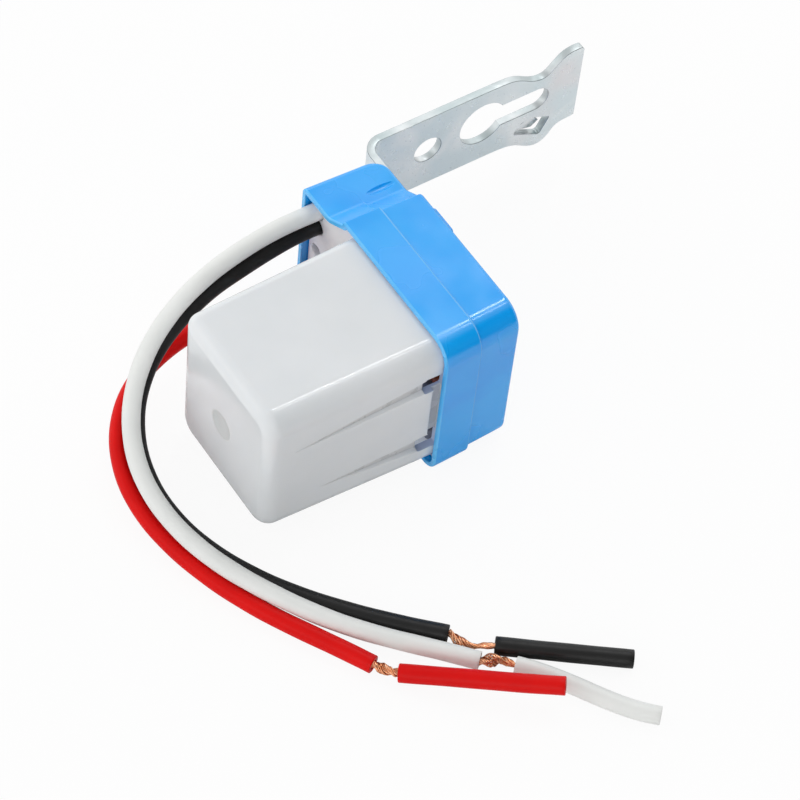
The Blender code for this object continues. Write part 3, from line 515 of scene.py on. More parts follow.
WHITE_SLEEVE = [
    (85.12, -10.19, -0.01), (88.30, -7.46, -0.01), (91.09, -5.46, -0.01), (94.11, -3.51, -0.01),
    (97.29, -1.56, -0.01), (100.19, 0.39, -0.01), (102.83, 2.48, -0.01), (105.37, 4.99, -0.01),
]
BLACK_SLEEVE = [(80.25, -10.99, -0.01), (87.28, -1.72, -0.01), (94.15, 7.47, -0.01)]
RED_SLEEVE = [
    (76.80, -27.81, 0.37), (81.20, -22.67, 1.27), (85.44, -17.72, 2.12), (89.76, -12.83, 3.07),
    (94.56, -7.12, 4.12),
]
WHITE_STRANDS = [
    (81.80, -14.51, 0.12), (82.45, -13.16, 0.27), (83.10, -12.06, 0.17), (83.84, -11.11, 0.02),
    (84.74, -10.51, 0.02),
]
BLACK_STRANDS = [
    (74.94, -16.01, 0.02), (76.19, -15.71, -0.08), (77.29, -15.16, -0.33), (78.29, -14.16, -0.43),
    (79.09, -12.76, -0.23), (79.94, -11.51, -0.03),
]
RED_STRANDS = [(73.55, -30.11, 0.09), (74.49, -29.51, 0.02), (75.50, -28.86, 0.12), (76.45, -28.06, 0.27)]
# colour, material, hole, route, strands, sleeve, the strands' spread along the way, their turns and reach
LEADS = (
    ("white", WHITE, WHITE_HOLE, WHITE_ROUTE, WHITE_STRANDS, WHITE_SLEEVE,
        (1.5, 2.1, 2.3, 1.6, 1.0, 0.9), 1.1, 1.0),
    ("black", BLACK, BLACK_HOLE, BLACK_ROUTE, BLACK_STRANDS, BLACK_SLEEVE,
        (1.5, 1.9, 1.6, 1.0, 0.9, 0.9), 1.0, 1.6),
    ("red", RED, RED_HOLE, RED_ROUTE, RED_STRANDS, RED_SLEEVE,
        (1.5, 1.7, 1.6, 1.6, 1.4), 0.9, 1.2),
)


def placed(points, lift=0.0):
    # lift raises the first point to its hole and fades as the route comes down
    top = points[0][2]
    return [(LUG_X + a, y, REST_Z + h + lift * (h / top) ** 2) for a, y, h in points]


def uneven(i, fast, slow, phase):
    # slight unevenness of the insulation along the way
    return WIRE_R + 0.012 * math.sin(i * fast) + 0.008 * math.sin(i * slow + phase)


def tube_piece(name, path, profile, mat):
    verts, faces = swept(path, profile, TUBE_SIDES)
    return finish_mesh(name, raw_mesh(name, verts, faces), [mat], TUBE_SHARP)


def insulated_lead(name, hole, route, mat):
    # insulation with a cut end: a flat ring round a shallow recess that the strands come out of
    ends = [(hole[0], HOLE_START_Y, hole[1]), (hole[0], HOLE_END_Y, hole[1])]
    path = smooth_path(ends + placed(route, hole[1] - REST_Z - route[0][2]), TUBE_STEP)
    last = len(path) - 1
    profile = [(0, 0.0, 0.0), (0, 0.0, WIRE_R - 0.1), (0, 0.05, WIRE_R)]
    profile += [(i, 0.0, uneven(i, 0.9, 0.37, 1.0)) for i in range(1, last)]
    profile += [(last, along, WIRE_R + change) for along, change in CUT_EDGE]
    profile += [(last, 0.0, 0.92), (last, -0.04, BORE_R), (last, -0.6, 0.84), (last, -0.6, 0.0)]
    return tube_piece(name, path, profile, mat), path


def cut_sleeve(name, points, mat):
    # short open tube: near end, outside, far end, and back through the bore
    path = smooth_path(placed(points), TUBE_STEP)
    last = len(path) - 1
    profile = [(0, 0.5, BORE_R), (0, 0.04, BORE_R), (0, 0.0, BORE_R + 0.05)]
    profile += [(0, -along, WIRE_R + change) for along, change in reversed(CUT_EDGE)]
    profile += [(i, 0.0, uneven(i, 0.8, 0.43, 2.0)) for i in range(1, last)]
    profile += [(last, along, WIRE_R + change) for along, change in CUT_EDGE]
    profile += [(last, 0.0, BORE_R + 0.05), (last, -0.04, BORE_R)]
    profile += [(i, 0.0, BORE_R) for i in range(last - 1, 0, -1)]
    profile.append((0, 0.5, BORE_R))
    return tube_piece(name, path, profile, mat)


def twisted_strands(name, points, widths, turns, reach):
    # filaments in two hanks that wind round each other; widths are the hanks' spread along the way
    path = smooth_path(placed(points), STRAND_STEP)
    axes = frames(path)
    path = [path[0] - axes[0][0] * STRAND_ROOT] + path + [path[-1] + axes[-1][0] * reach]
    axes = [axes[0]] + axes + [axes[-1]]
    way = np.r_[0.0, np.cumsum([(b - a).length for a, b in zip(path, path[1:])])]
    way = way / way[-1]
    spread = np.interp(way, np.linspace(0, 1, len(widths)), widths)
    verts = []
    faces = []
    for f in range(FILAMENTS):
        hank = f % 2
        member = f // 2
        ring = FILAMENT_RING if member else 0.0
        line = []
        for q, s, width, (_, side, over) in zip(path, way.tolist(), spread.tolist(), axes):
            turn = 2 * math.pi * turns * s + math.pi * hank
            own = 2 * math.pi * (turns * 1.6 * s + member / (FILAMENTS // 2 - 1)) + 0.7 * hank
            stray = 1.0 + 0.16 * math.sin(9.0 * s + 2.1 * f) + 0.08 * math.sin(23.0 * s + f)
            a = width * HANK_RING * math.cos(turn) + width * ring * stray * math.cos(own)
            b = width * HANK_RING * math.sin(turn) + width * ring * stray * math.sin(own)
            line.append(q + side * a + over * b)
        n = FILAMENT_SIDES
        base = len(verts)
        end = base + (len(line) - 1) * n
        for q, (_, side, over) in zip(line, frames(line)):
            for k in range(n):
                t = 2 * math.pi * k / n
                verts.append(tuple(q + (side * math.cos(t) + over * math.sin(t)) * FILAMENT_D / 2))
        for start in range(base, end, n):
            for k in range(n):
                m = (k + 1) % n
                faces.append((start + k, start + m, start + n + m, start + n + k))
        faces.append(tuple(range(base, base + n)))
        faces.append(tuple(range(end, end + n)))
    return finish_mesh(name, raw_mesh(name, verts, faces), [COPPER], TUBE_SHARP)


for colour, mat, hole, route, strand_points, sleeve_points, widths, turns, reach in LEADS:
    lead, path = insulated_lead(f"{colour}_lead", hole, route, mat)
    strands = twisted_strands(f"{colour}_twisted_strands", strand_points, widths, turns, reach)
    sleeve = cut_sleeve(f"{colour}_cut_sleeve", sleeve_points, mat)
    for piece, part in ((lead, "wire"), (strands, "strands"), (sleeve, "sleeve")):
        node = f"{colour}_{part}"
        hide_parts(node)
    path = [(q + SHIFT) * MM for q in path]

# cap
CAP_HALF_X = 16.3
CAP_HALF_Z = 17.0
CAP_DEPTH = 15.45
SKIRT_DEPTH = 7.2
CAP_DRAFT = 0.25
CAP_WALL = 1.0
CAP_TOP_R = 4.6
CAP_FOOT_R = 3.2
CAP_LEFT_R = 1.0
CAP_BACK_R = 0.8
BACK_HALF_X = 15.6
BACK_HALF_Z = 16.7
MOUTH_R = 0.3
STEP_R = 0.35
LUG_HALF_Z = 13.4
LUG_DRAFT = 0.7
LUG_EDGE_R = 1.5
LUG_HOLLOW_R = 2.0
LUG_BACK_R = 3.2
LUG_DIMPLE_CENTRE = (-21.8, 11.53, LUG_HALF_Z + 0.7)
LUG_DIMPLE_RADII = (0.95, 4.0, 1.2)
RAMP_WIDTH = 4.2
RAMP_HEIGHT = 2.52
STRAP_LEFT_X = -15.3
STRAP_RIGHT_X = -9.1
STRAP_PLAY = 0.25
STRAP_WALL = 1.2
STRAP_R = 0.45
POCKET_LEFT_X = -15.8
POCKET_RIGHT_X = -10.15
LEG_Y = 15.65
SHEET = 1.5
PLATE_TOP = 9.595
PLATE_BOTTOM = -8.355


def cap_outline(half_x, half_z, lug_x, lug_z, inset):
    hx = half_x - inset
    hz = half_z - inset
    lx = lug_x + inset
    lz = lug_z - inset
    top_r = max(CAP_TOP_R - inset, 0.4)
    foot_r = max(CAP_FOOT_R - inset, 0.4)
    left_r = max(CAP_LEFT_R - inset, 0.3)
    edge_r = max(LUG_EDGE_R - inset, 0.3)
    hollow_r = LUG_HOLLOW_R + min(inset, 1.0)
    slant = math.hypot(RAMP_WIDTH, RAMP_HEIGHT)
    top = lug_z + RAMP_HEIGHT - inset * (slant - RAMP_HEIGHT) / RAMP_WIDTH
    out = half_x + RAMP_WIDTH - inset * (slant - RAMP_WIDTH) / RAMP_HEIGHT
    return rounded([
        (hx, hz, top_r), (-hx, hz, left_r), (-hx, top, 1.0), (-out, lz, hollow_r), (lx, lz, edge_r),
        (lx, -lz, edge_r), (-out, -lz, hollow_r), (-hx, -top, 1.0), (-hx, -hz, left_r), (hx, -hz, foot_r),
    ])


def lug_curl(y, back, r):
    # how far the lug's side has turned in towards its rounded back edge
    if y <= back - r:
        return 0.0
    return r - math.sqrt(max(r ** 2 - (y - back + r) ** 2, 0.0))


def cap_section(y, half_x, half_z, curl, inset):
    t = y / CAP_DEPTH
    lug_x = LUG_X + LUG_DRAFT * t + curl
    return y, cap_outline(half_x, half_z, lug_x, LUG_HALF_Z - 0.5 * CAP_DRAFT * t, inset)


def cap_outer(y, half_x, half_z, inset=0.0):
    curl = max(lug_curl(y, CAP_DEPTH, LUG_BACK_R) - inset, 0.0)
    return cap_section(y, half_x, half_z, curl, inset)


def cap_inner(y, half_x, half_z):
    curl = lug_curl(y, CAP_DEPTH - CAP_WALL, LUG_BACK_R - CAP_WALL)
    return cap_section(y, half_x, half_z, curl, CAP_WALL)


def cap_shell():
    skirt_x = CAP_HALF_X - CAP_DRAFT * 0.5
    back_x = BACK_HALF_X - CAP_DRAFT
    outer = []
    for t in quarter(5):
        y = MOUTH_R * (1 - math.cos(t))
        outer.append(cap_outer(y, CAP_HALF_X, CAP_HALF_Z, MOUTH_R * (1 - math.sin(t))))
    outer.append(cap_outer(SKIRT_DEPTH - STEP_R, skirt_x, CAP_HALF_Z))
    for t in quarter(4, 1):
        drop = 0.3 * (1 - math.cos(t))
        y = SKIRT_DEPTH - STEP_R + STEP_R * math.sin(t)
        outer.append(cap_outer(y, skirt_x - drop, CAP_HALF_Z - drop * 0.6))
    for t in quarter(4, 1):
        left = 1 - math.sin(t)
        y = SKIRT_DEPTH + STEP_R * (1 - math.cos(t))
        outer.append(cap_outer(y, BACK_HALF_X + 0.28 * left, BACK_HALF_Z + 0.1 * left))
    for y, share in ((10.0, 0.3), (12.25, 0.6), (12.8, 0.68), (13.3, 0.76), (13.8, 0.84), (14.2, 0.9)):
        outer.append(cap_outer(y, BACK_HALF_X - CAP_DRAFT * share, BACK_HALF_Z))
    for t in quarter(8):
        y = CAP_DEPTH - CAP_BACK_R + CAP_BACK_R * math.sin(t)
        outer.append(cap_outer(y, back_x, BACK_HALF_Z, CAP_BACK_R * (1 - math.cos(t))))
    back = CAP_DEPTH - CAP_WALL
    step = SKIRT_DEPTH - CAP_WALL
    inner = [
        cap_inner(back, back_x, BACK_HALF_Z),
        cap_inner(back - 0.3, back_x, BACK_HALF_Z),
        cap_inner(back - 0.9, back_x, BACK_HALF_Z),
        cap_inner(back - 1.9, BACK_HALF_X - 0.2, BACK_HALF_Z),
        cap_inner(step + 0.25, BACK_HALF_X, BACK_HALF_Z),
        cap_inner(step, skirt_x, CAP_HALF_Z),
        cap_inner(0.25, CAP_HALF_X, CAP_HALF_Z),
        cap_inner(0.08, CAP_HALF_X + 0.05, CAP_HALF_Z + 0.05),
        cap_inner(0.0, CAP_HALF_X + 0.15, CAP_HALF_Z + 0.15),
    ]
    return loft("cap_raw", outer[::-1] + inner[::-1])


def strap_and_pocket():
    margin = STRAP_PLAY + STRAP_WALL
    low = PLATE_BOTTOM - margin
    high = PLATE_TOP + margin
    rear = LEG_Y + SHEET + margin
    sections = [(CAP_DEPTH - 0.6, box_outline(STRAP_LEFT_X, STRAP_RIGHT_X, low, high, 0.5, 6))]
    for t in quarter(5):
        cut = STRAP_R * (1 - math.cos(t))
        outline = box_outline(STRAP_LEFT_X + cut, STRAP_RIGHT_X - cut, low + cut, high - cut, 0.6, 6)
        sections.append((rear - STRAP_R + STRAP_R * math.sin(t), outline))
    under = PLATE_BOTTOM - STRAP_PLAY
    over = PLATE_TOP + STRAP_PLAY
    opening = [(POCKET_LEFT_X, under), (POCKET_RIGHT_X, under), (POCKET_RIGHT_X, over), (POCKET_LEFT_X, over)]
    return loft("strap", sections), prism("pocket", opening, CAP_DEPTH - 0.05, LEG_Y + SHEET + STRAP_PLAY, 1)


def lug_dimple():
    x, y, z = LUG_DIMPLE_CENTRE
    rx, ry, rz = LUG_DIMPLE_RADII
    points = []
    for k in range(1, 24):
        t = math.pi * k / 24
        for across, up in circle(0.0, 0.0, 1.0, 32):
            points.append((x + rx * math.sin(t) * across, y - ry * math.cos(t), z + rz * math.sin(t) * up))
    return hull("dimple", points)


def build_cap():
    shell = cap_shell()
    strap, pocket = strap_and_pocket()
    mesh = combine(shell, [("UNION", strap), ("DIFFERENCE", pocket), ("DIFFERENCE", lug_dimple())])
    piece = finish_mesh("cap_shell", mesh, [BLUE, BLUE_RIM_HIGHLIGHT], 30.0)
    # painted highlight: faces of the mouth's rim and of the step get the lighter blue
    for poly in mesh.polygons:
        y = poly.center.y / MM - SHIFT.y
        at_mouth = y < MOUTH_R - 0.01
        at_step = SKIRT_DEPTH - 0.33 < y < SKIRT_DEPTH + 0.1 and poly.normal.y > 0.2
        if at_mouth or at_step:
            poly.material_index = 1
    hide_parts("cap")


build_cap()

# housing
HOUSING_LENGTH = 32.9
HOUSING_WALL = 1.4
HOUSING_CORNER_R = 4.2
HOUSING_TOP_LEFT_R = 2.0
HOUSING_FRONT_R = 2.6
FRONT_HALF_X = 13.8
FRONT_HALF_Z = 15.1
REAR_HALF_X = 15.05
REAR_HALF_Z = 15.75
LEFT_SET_IN = 0.95
TAPER_KNOT_Y = -8.0
BODY_END_Y = 0.9
FLANGE_RECESS = 1.3
FLANGE_BACK_Y = 3.4
FLANGE_PLAY = 0.28
LEAD_HOLE_D = 3.7
SPARE_HOLE_D = 2.8
WINDOW_BACK_Y = 0.85
WINDOW_FRONT_Y = WINDOW_BACK_Y - 3.8
WINDOW_Z = 0.48 * CAP_HALF_Z
WINDOW_HALF_Z = 1.95
WINDOW_CUT = 4.0
GROOVE_CUT = 0.9
# grooves: start as a share of the housing's length and of the cap's half height, height at the window
GROOVES = (("upper", 0.85, 0.34, WINDOW_Z), ("lower", 0.68, -0.44, -WINDOW_Z))
CHANNEL_HALF_Z = WINDOW_Z - 1.65
CHANNEL_R = 0.8
FRONT_DIMPLE = (-0.6, -0.2)
FRONT_DIMPLE_R = 3.0
FRONT_DIMPLE_DEPTH = 0.45
HOUSING_SLOTS = [MILKY, FROSTED, THIN_WALL_SHADE, DIMPLE_SHADE, WINDOW_PAINTED_SHADE, INSIDE_PAINTED_GLOW]


def housing_half(y, side=1):
    t = min((y + HOUSING_LENGTH) / HOUSING_LENGTH, 1.0)
    rear = REAR_HALF_X - (LEFT_SET_IN if side < 0 else 0.0)
    return FRONT_HALF_X + (rear - FRONT_HALF_X) * t, FRONT_HALF_Z + (REAR_HALF_Z - FRONT_HALF_Z) * t


def housing_outline(y, inset):
    right, high = housing_half(y)
    left = housing_half(y, -1)[0]
    r = max(HOUSING_CORNER_R - inset, 0.6)
    top_left_r = max(HOUSING_TOP_LEFT_R - inset, 0.6)
    return rounded([
        (right - inset, high - inset, r), (inset - left, high - inset, top_left_r),
        (inset - left, inset - high, r), (right - inset, inset - high, r),
    ])


def side_cutter(name, outline, side, wall, depth):
    # from depth under the side's surface to well outside it
    low, high = sorted((side * (wall - depth), side * (wall + 3.0)))
    return prism(name, outline, low, high, 0)


def groove(name, side, wall, start_y, start_z, centre):
    # wedge that grows from a point towards its window
    y = -start_y * HOUSING_LENGTH
    z = start_z * CAP_HALF_Z
    start_wall = housing_half(y, side)[0]
    end_y = WINDOW_FRONT_Y + 0.5
    points = [(side * (start_wall + 0.6), y, z - 0.3), (side * (start_wall + 0.6), y, z + 0.3)]
    points.append((side * (start_wall - 0.02), y, z))
    for lip, draw_in in ((centre - WINDOW_HALF_Z, 0.5), (centre + WINDOW_HALF_Z, -0.5)):
        points.append((side * (wall + 0.6), end_y, lip))
        points.append((side * (wall - GROOVE_CUT), end_y, lip + draw_in))
    return hull(name, points)


def side_cutters(side):
    wall = housing_half(WINDOW_FRONT_Y, side)[0]
    front = WINDOW_FRONT_Y + 1.6
    outline = box_outline(front, WINDOW_BACK_Y + 0.02, -CHANNEL_HALF_Z, CHANNEL_HALF_Z, CHANNEL_R)
    cutters = [side_cutter(f"channel {side}", outline, side, wall, GROOVE_CUT)]
    for label, start_y, start_z, centre in GROOVES:
        cutters.append(groove(f"{label} groove {side}", side, wall, start_y, start_z, centre))
        low = centre - WINDOW_HALF_Z
        high = centre + WINDOW_HALF_Z
        outline = box_outline(WINDOW_FRONT_Y, WINDOW_BACK_Y, low, high, 0.3, 4)
        cutters.append(side_cutter(f"{label} window {side}", outline, side, wall, WINDOW_CUT))
    return cutters


def front_dimple():
    # shallow ball-shaped dish
    ball_r = (FRONT_DIMPLE_R ** 2 + FRONT_DIMPLE_DEPTH ** 2) / (2 * FRONT_DIMPLE_DEPTH)
    points = []
    for k in range(7):
        r = FRONT_DIMPLE_R * (1 - k / 6)
        y = -HOUSING_LENGTH + FRONT_DIMPLE_DEPTH - ball_r + math.sqrt(ball_r ** 2 - r ** 2)
        points += [(x, y, z) for x, z in circle(*FRONT_DIMPLE, r + 0.01)]
    points += [(x, -HOUSING_LENGTH - 1.0, z) for x, z in circle(*FRONT_DIMPLE, FRONT_DIMPLE_R + 0.01)]
    return hull("front dimple", points)


def housing_body():
    sections = []
    for t in reversed(quarter(10)):
        y = -HOUSING_LENGTH + HOUSING_FRONT_R * (1 - math.sin(t))
        sections.append((y, housing_outline(y, HOUSING_FRONT_R * (1 - math.cos(t)))))
    for y in (TAPER_KNOT_Y, BODY_END_Y, FLANGE_BACK_Y):
        sections.append((y, housing_outline(min(y, 0.0), 0.0)))
    return loft("housing_raw", sections)


def housing_room():
    front = -HOUSING_LENGTH + HOUSING_WALL
    sections = []
    for deeper, extra in ((0.0, 1.2), (0.1, 0.8), (0.35, 0.4), (0.7, 0.15), (1.2, 0.0)):
        sections.append((front + deeper, housing_outline(front + deeper, HOUSING_WALL + extra)))
    sections.append((TAPER_KNOT_Y, housing_outline(TAPER_KNOT_Y, HOUSING_WALL)))
    sections.append((FLANGE_BACK_Y + 1.0, housing_outline(0.0, HOUSING_WALL)))
    return loft("room", sections)


def flange_section(y, lug_set_in):
    return y, cap_outline(CAP_HALF_X, CAP_HALF_Z, LUG_X + lug_set_in, LUG_HALF_Z, CAP_WALL + FLANGE_PLAY)


def lead_holes():
    cutters = []
    for label, (x, z), d in (
        ("white lead hole", WHITE_HOLE, LEAD_HOLE_D), ("black lead hole", BLACK_HOLE, LEAD_HOLE_D),
        ("red lead hole", RED_HOLE, LEAD_HOLE_D), ("spare hole", SPARE_HOLE, SPARE_HOLE_D),
    ):
        cutters.append(prism(label, circle(x, z, d / 2), FLANGE_RECESS - 1.0, FLANGE_BACK_Y + 1.0, 1))
    low = BLACK_HOLE[1] - LEAD_HOLE_D / 2
    high = WHITE_HOLE[1] + LEAD_HOLE_D / 2
    notch = [(LUG_X - 1.0, low), (BLACK_HOLE[0], low), (WHITE_HOLE[0], high), (LUG_X - 1.0, high)]
    cutters.append(prism("lead notch", notch, FLANGE_RECESS - 1.1, FLANGE_BACK_Y + 1.1, 1))
    return cutters


def housing_slot(poly):
    # number of the face's material: open flange, front dimple in painted shade, walls of the windows in
    # painted shade, inside with a painted glow, recessed thin walls in painted shade or the rest
    c = poly.center / MM - SHIFT
    side = 1 if c.x > 0 else -1
    wall, high = housing_half(c.y, side)
    under = wall - side * c.x
    from_front = c.y + HOUSING_LENGTH
    from_dimple = math.hypot(c.x - FRONT_DIMPLE[0], c.z - FRONT_DIMPLE[1])
    faces_side = abs(poly.normal.x) > 0.9
    if c.y > 1.2 and c.x < -14.3:
        return HOUSING_SLOTS.index(FROSTED)
    # front dimple's dish: painted shade
    if 0.01 < from_front < 0.47 and from_dimple < FRONT_DIMPLE_R + 0.05:
        return HOUSING_SLOTS.index(DIMPLE_SHADE)
    # walls of the windows: painted shade
    if -3.0 < c.y < BODY_END_Y and 0.05 < under < WINDOW_CUT and 6.1 < abs(c.z) < 10.2 and not faces_side:
        return HOUSING_SLOTS.index(WINDOW_PAINTED_SHADE)
    # inside faces: painted glow
    if under > 1.3 and abs(c.z) < high - 1.3 and from_front > 1.3:
        return HOUSING_SLOTS.index(INSIDE_PAINTED_GLOW)
    # recessed floors of the grooves and the channel: painted shade
    if c.y > -30.0 and faces_side and 0.03 < under < 1.2 and abs(c.z) < 10.6:
        return HOUSING_SLOTS.index(THIN_WALL_SHADE)
    return HOUSING_SLOTS.index(MILKY)


def build_housing():
    body = housing_body()
    flange = loft("flange", [flange_section(FLANGE_RECESS, 0.15), flange_section(FLANGE_BACK_Y - 0.02, 0.25)])
    cutters = [housing_room()] + lead_holes() + side_cutters(1) + side_cutters(-1) + [front_dimple()]
    mesh = combine(body, [("UNION", flange)] + [("DIFFERENCE", cutter) for cutter in cutters])
    piece = finish_mesh("housing_shell", mesh, HOUSING_SLOTS, 30.0)
    for poly in mesh.polygons:
        poly.material_index = housing_slot(poly)
    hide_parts("housing")


build_housing()

# bracket: flat pattern with its holes, then bent round the corner
X_MIN = -35.05
BEND_R = 4.0
BEND_X = X_MIN + BEND_R
BEND_Y = LEG_Y + BEND_R
BEND_LENGTH = (BEND_R - SHEET / 2) * math.pi / 2
LEG_LENGTH = 20.65
LEG_END_X = -10.4
PLATE_END_Y = 63.3
PLATE_CENTRE_Z = 0.62
EDGE_R = 0.13
HOLE_Y = 30.1
HOLE_Z = 0.9
HOLE_R = 2.85
KEY_Y = 41.9
KEY_Z = 1.36
KEY_R = 4.875
KEY_SLOT_HALF = 2.65
KEY_SLOT_END_Y = 56.3
# wavy ends of the plate's edges and the tongue's opening, y from the plate's end, z from the edge or middle
WAVE_TOP = [
    (-19.5, 0.0), (-17.4, -0.05), (-15.2, -0.35), (-13.2, -1.25), (-11.3, -2.4), (-9.6, -3.0), (-8.0, -2.9),
    (-6.6, -1.8), (-5.4, -0.6), (-4.2, 0.35), (-2.8, 0.85), (-1.3, 0.95), (-0.45, 0.75), (-0.05, 0.1),
]
WAVE_BOTTOM = [
    (-0.1, 0.55), (-1.8, 0.35), (-3.6, 0.1), (-4.7, -0.7), (-5.7, -2.0), (-6.8, -2.95), (-8.2, -3.3),
    (-9.8, -2.9),
    (-11.4, -2.0), (-13.2, -0.9), (-15.2, -0.25), (-17.4, -0.03), (-19.5, 0.0),
]
LEAF = [(-14.0, -6.4, 0.5), (-7.8, -9.6, 0.6), (-5.9, -5.8, 0.4), (-9.3, -4.3, 1.5), (-12.3, -4.2, 0.9)]
TONGUE_ROOT = [(-13.9, -5.2), (-9.9, -3.6)]
TONGUE_TIP = [(-8.9, -8.3), (-7.4, -7.1)]
TONGUE_BEND = 1.15
TONGUE_STEPS = 6


def flat_u(y):
    # place along the flat sheet of a point of the bent plate
    return LEG_LENGTH + BEND_LENGTH + y - BEND_Y


def wavy_edge(points, edge_z):
    curve = smooth_path([(a, b, 0.0) for a, b in points], 0.35)
    return [(flat_u(PLATE_END_Y + q.x), edge_z + q.y) for q in curve]


def flat_pattern():
    cut = 0.25
    outline = [(cut, PLATE_BOTTOM), (0.0, PLATE_BOTTOM + cut), (0.0, PLATE_TOP - cut), (cut, PLATE_TOP)]
    outline += wavy_edge(WAVE_TOP, PLATE_TOP) + wavy_edge(WAVE_BOTTOM, PLATE_BOTTOM)
    hole = [(flat_u(a), b) for a, b in circle(HOLE_Y, HOLE_Z, HOLE_R, 56)]
    meet = math.asin(KEY_SLOT_HALF / KEY_R)
    key = []
    for k in range(49):
        t = meet + (2 * math.pi - 2 * meet) * k / 48
        key.append((flat_u(KEY_Y + KEY_R * math.cos(t)), KEY_Z + KEY_R * math.sin(t)))
    for k in range(25):
        t = -math.pi / 2 + math.pi * k / 24
        y = KEY_SLOT_END_Y - KEY_SLOT_HALF + KEY_SLOT_HALF * math.cos(t)
        key.append((flat_u(y), KEY_Z + KEY_SLOT_HALF * math.sin(t)))
    leaf = [(flat_u(PLATE_END_Y + a), PLATE_CENTRE_Z + b) for a, b in rounded(LEAF, 6)]
    curve = bpy.data.curves.new("flat pattern", "CURVE")
    curve.dimensions = "2D"
    curve.fill_mode = "BOTH"
    curve.extrude = SHEET / 2 - EDGE_R
    curve.bevel_depth = EDGE_R
    curve.bevel_resolution = 3
    curve.offset = -EDGE_R
    for loop in (outline, hole, key, leaf):
        spline = curve.splines.new("POLY")
        spline.points.add(len(loop) - 1)
        for point, (u, v) in zip(spline.points, loop):
            point.co = (u, v, 0.0, 1.0)
        spline.use_cyclic_u = True
    flat = add_object("flat pattern", curve)
    mesh = evaluated_mesh(flat)
    bpy.data.objects.remove(flat)
    return mesh


def bent(u, z, w):
    # w is the height over the sheet's middle: positive on the side of the cap's back
    if u <= LEG_LENGTH:
        return LEG_END_X - u, LEG_Y + SHEET / 2 - w, z
    if u <= LEG_LENGTH + BEND_LENGTH:
        t = (u - LEG_LENGTH) / BEND_LENGTH * math.pi / 2
        r = BEND_R - SHEET / 2 + w
        return BEND_X - r * math.sin(t), BEND_Y - r * math.cos(t), z
    return X_MIN + SHEET / 2 - w, BEND_Y + u - LEG_LENGTH - BEND_LENGTH, z


def bend_sheet(mesh):
    bm = bmesh.new()
    bm.from_mesh(mesh)
    bmesh.ops.remove_doubles(bm, verts=bm.verts, dist=1e-4)
    for u in [LEG_LENGTH + BEND_LENGTH * k / 16 for k in range(17)] + [4.0, 8.0, 12.0, 16.0, 20.0]:
        geometry = bm.verts[:] + bm.edges[:] + bm.faces[:]
        bmesh.ops.bisect_plane(bm, geom=geometry, plane_co=(u, 0, 0), plane_no=(1, 0, 0), dist=1e-5)
    for v in bm.verts:
        v.co = (Vector(bent(*v.co)) + SHIFT) * MM
    bmesh.ops.recalc_face_normals(bm, faces=bm.faces)
    bm.to_mesh(mesh)
    bm.free()


def lanced_tongue():
    # two edges of points on each face of the sheet, bent towards the wall from root to tip
    n = TONGUE_STEPS
    edges = []
    for (root_y, root_z), (tip_y, tip_z) in zip(TONGUE_ROOT, TONGUE_TIP):
        for k in range(n + 1):
            t = k / n
            y = PLATE_END_Y + root_y + (tip_y - root_y) * t
            edges.append((TONGUE_BEND * t ** 1.6, y, PLATE_CENTRE_Z + root_z + (tip_z - root_z) * t))
    verts = []
    for x in (X_MIN + SHEET - 0.12, X_MIN + 0.12):
        verts += [(x - bend, y, z) for bend, y, z in edges]
    side = n + 1
    layer = 2 * side
    faces = []
    for low in (0, layer):
        faces += [(low + k, low + k + 1, low + side + k + 1, low + side + k) for k in range(n)]
    for low in (0, side):
        faces += [(low + k, low + k + 1, low + layer + k + 1, low + layer + k) for k in range(n)]
    for k in (0, n):
        faces.append((k, side + k, layer + side + k, layer + k))
    flap = add_object("tongue_raw", raw_mesh("tongue_raw", verts, faces))
    bevel = flap.modifiers.new("edges", "BEVEL")
    bevel.width = 0.15 * MM
    bevel.segments = 3
    bevel.limit_method = "ANGLE"
    bevel.angle_limit = math.radians(50)
    mesh = evaluated_mesh(flap)
    bpy.data.objects.remove(flap)
    return mesh


def bracket_slot(poly):
    # 0 on the sheet's faces, 1 on its sheared edge, 2 on the thin corner lines between them, which are
    # painted dark as shade
    place = poly.center / MM - SHIFT
    n = poly.normal
    if place.x > BEND_X:
        flatness = abs(n.y)
    elif place.y > BEND_Y:
        flatness = abs(n.x)
    else:
        flatness = math.hypot(n.x, n.y)
    if flatness >= 0.95:
        return 0
    return 2 if flatness > 0.3 and poly.area < 4e-7 else 1


def build_bracket():
    mesh = flat_pattern()
    bend_sheet(mesh)
    bm = bmesh.new()
    bm.from_mesh(mesh)
    bm.from_mesh(lanced_tongue())
    bm.to_mesh(mesh)
    bm.free()
    piece = finish_mesh("bracket_plate", mesh, [ZINC, ZINC_EDGE, ZINC_RIM_SHADE], 40.0)
    for poly in mesh.polygons:
        poly.material_index = bracket_slot(poly)
    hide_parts("bracket")


build_bracket()

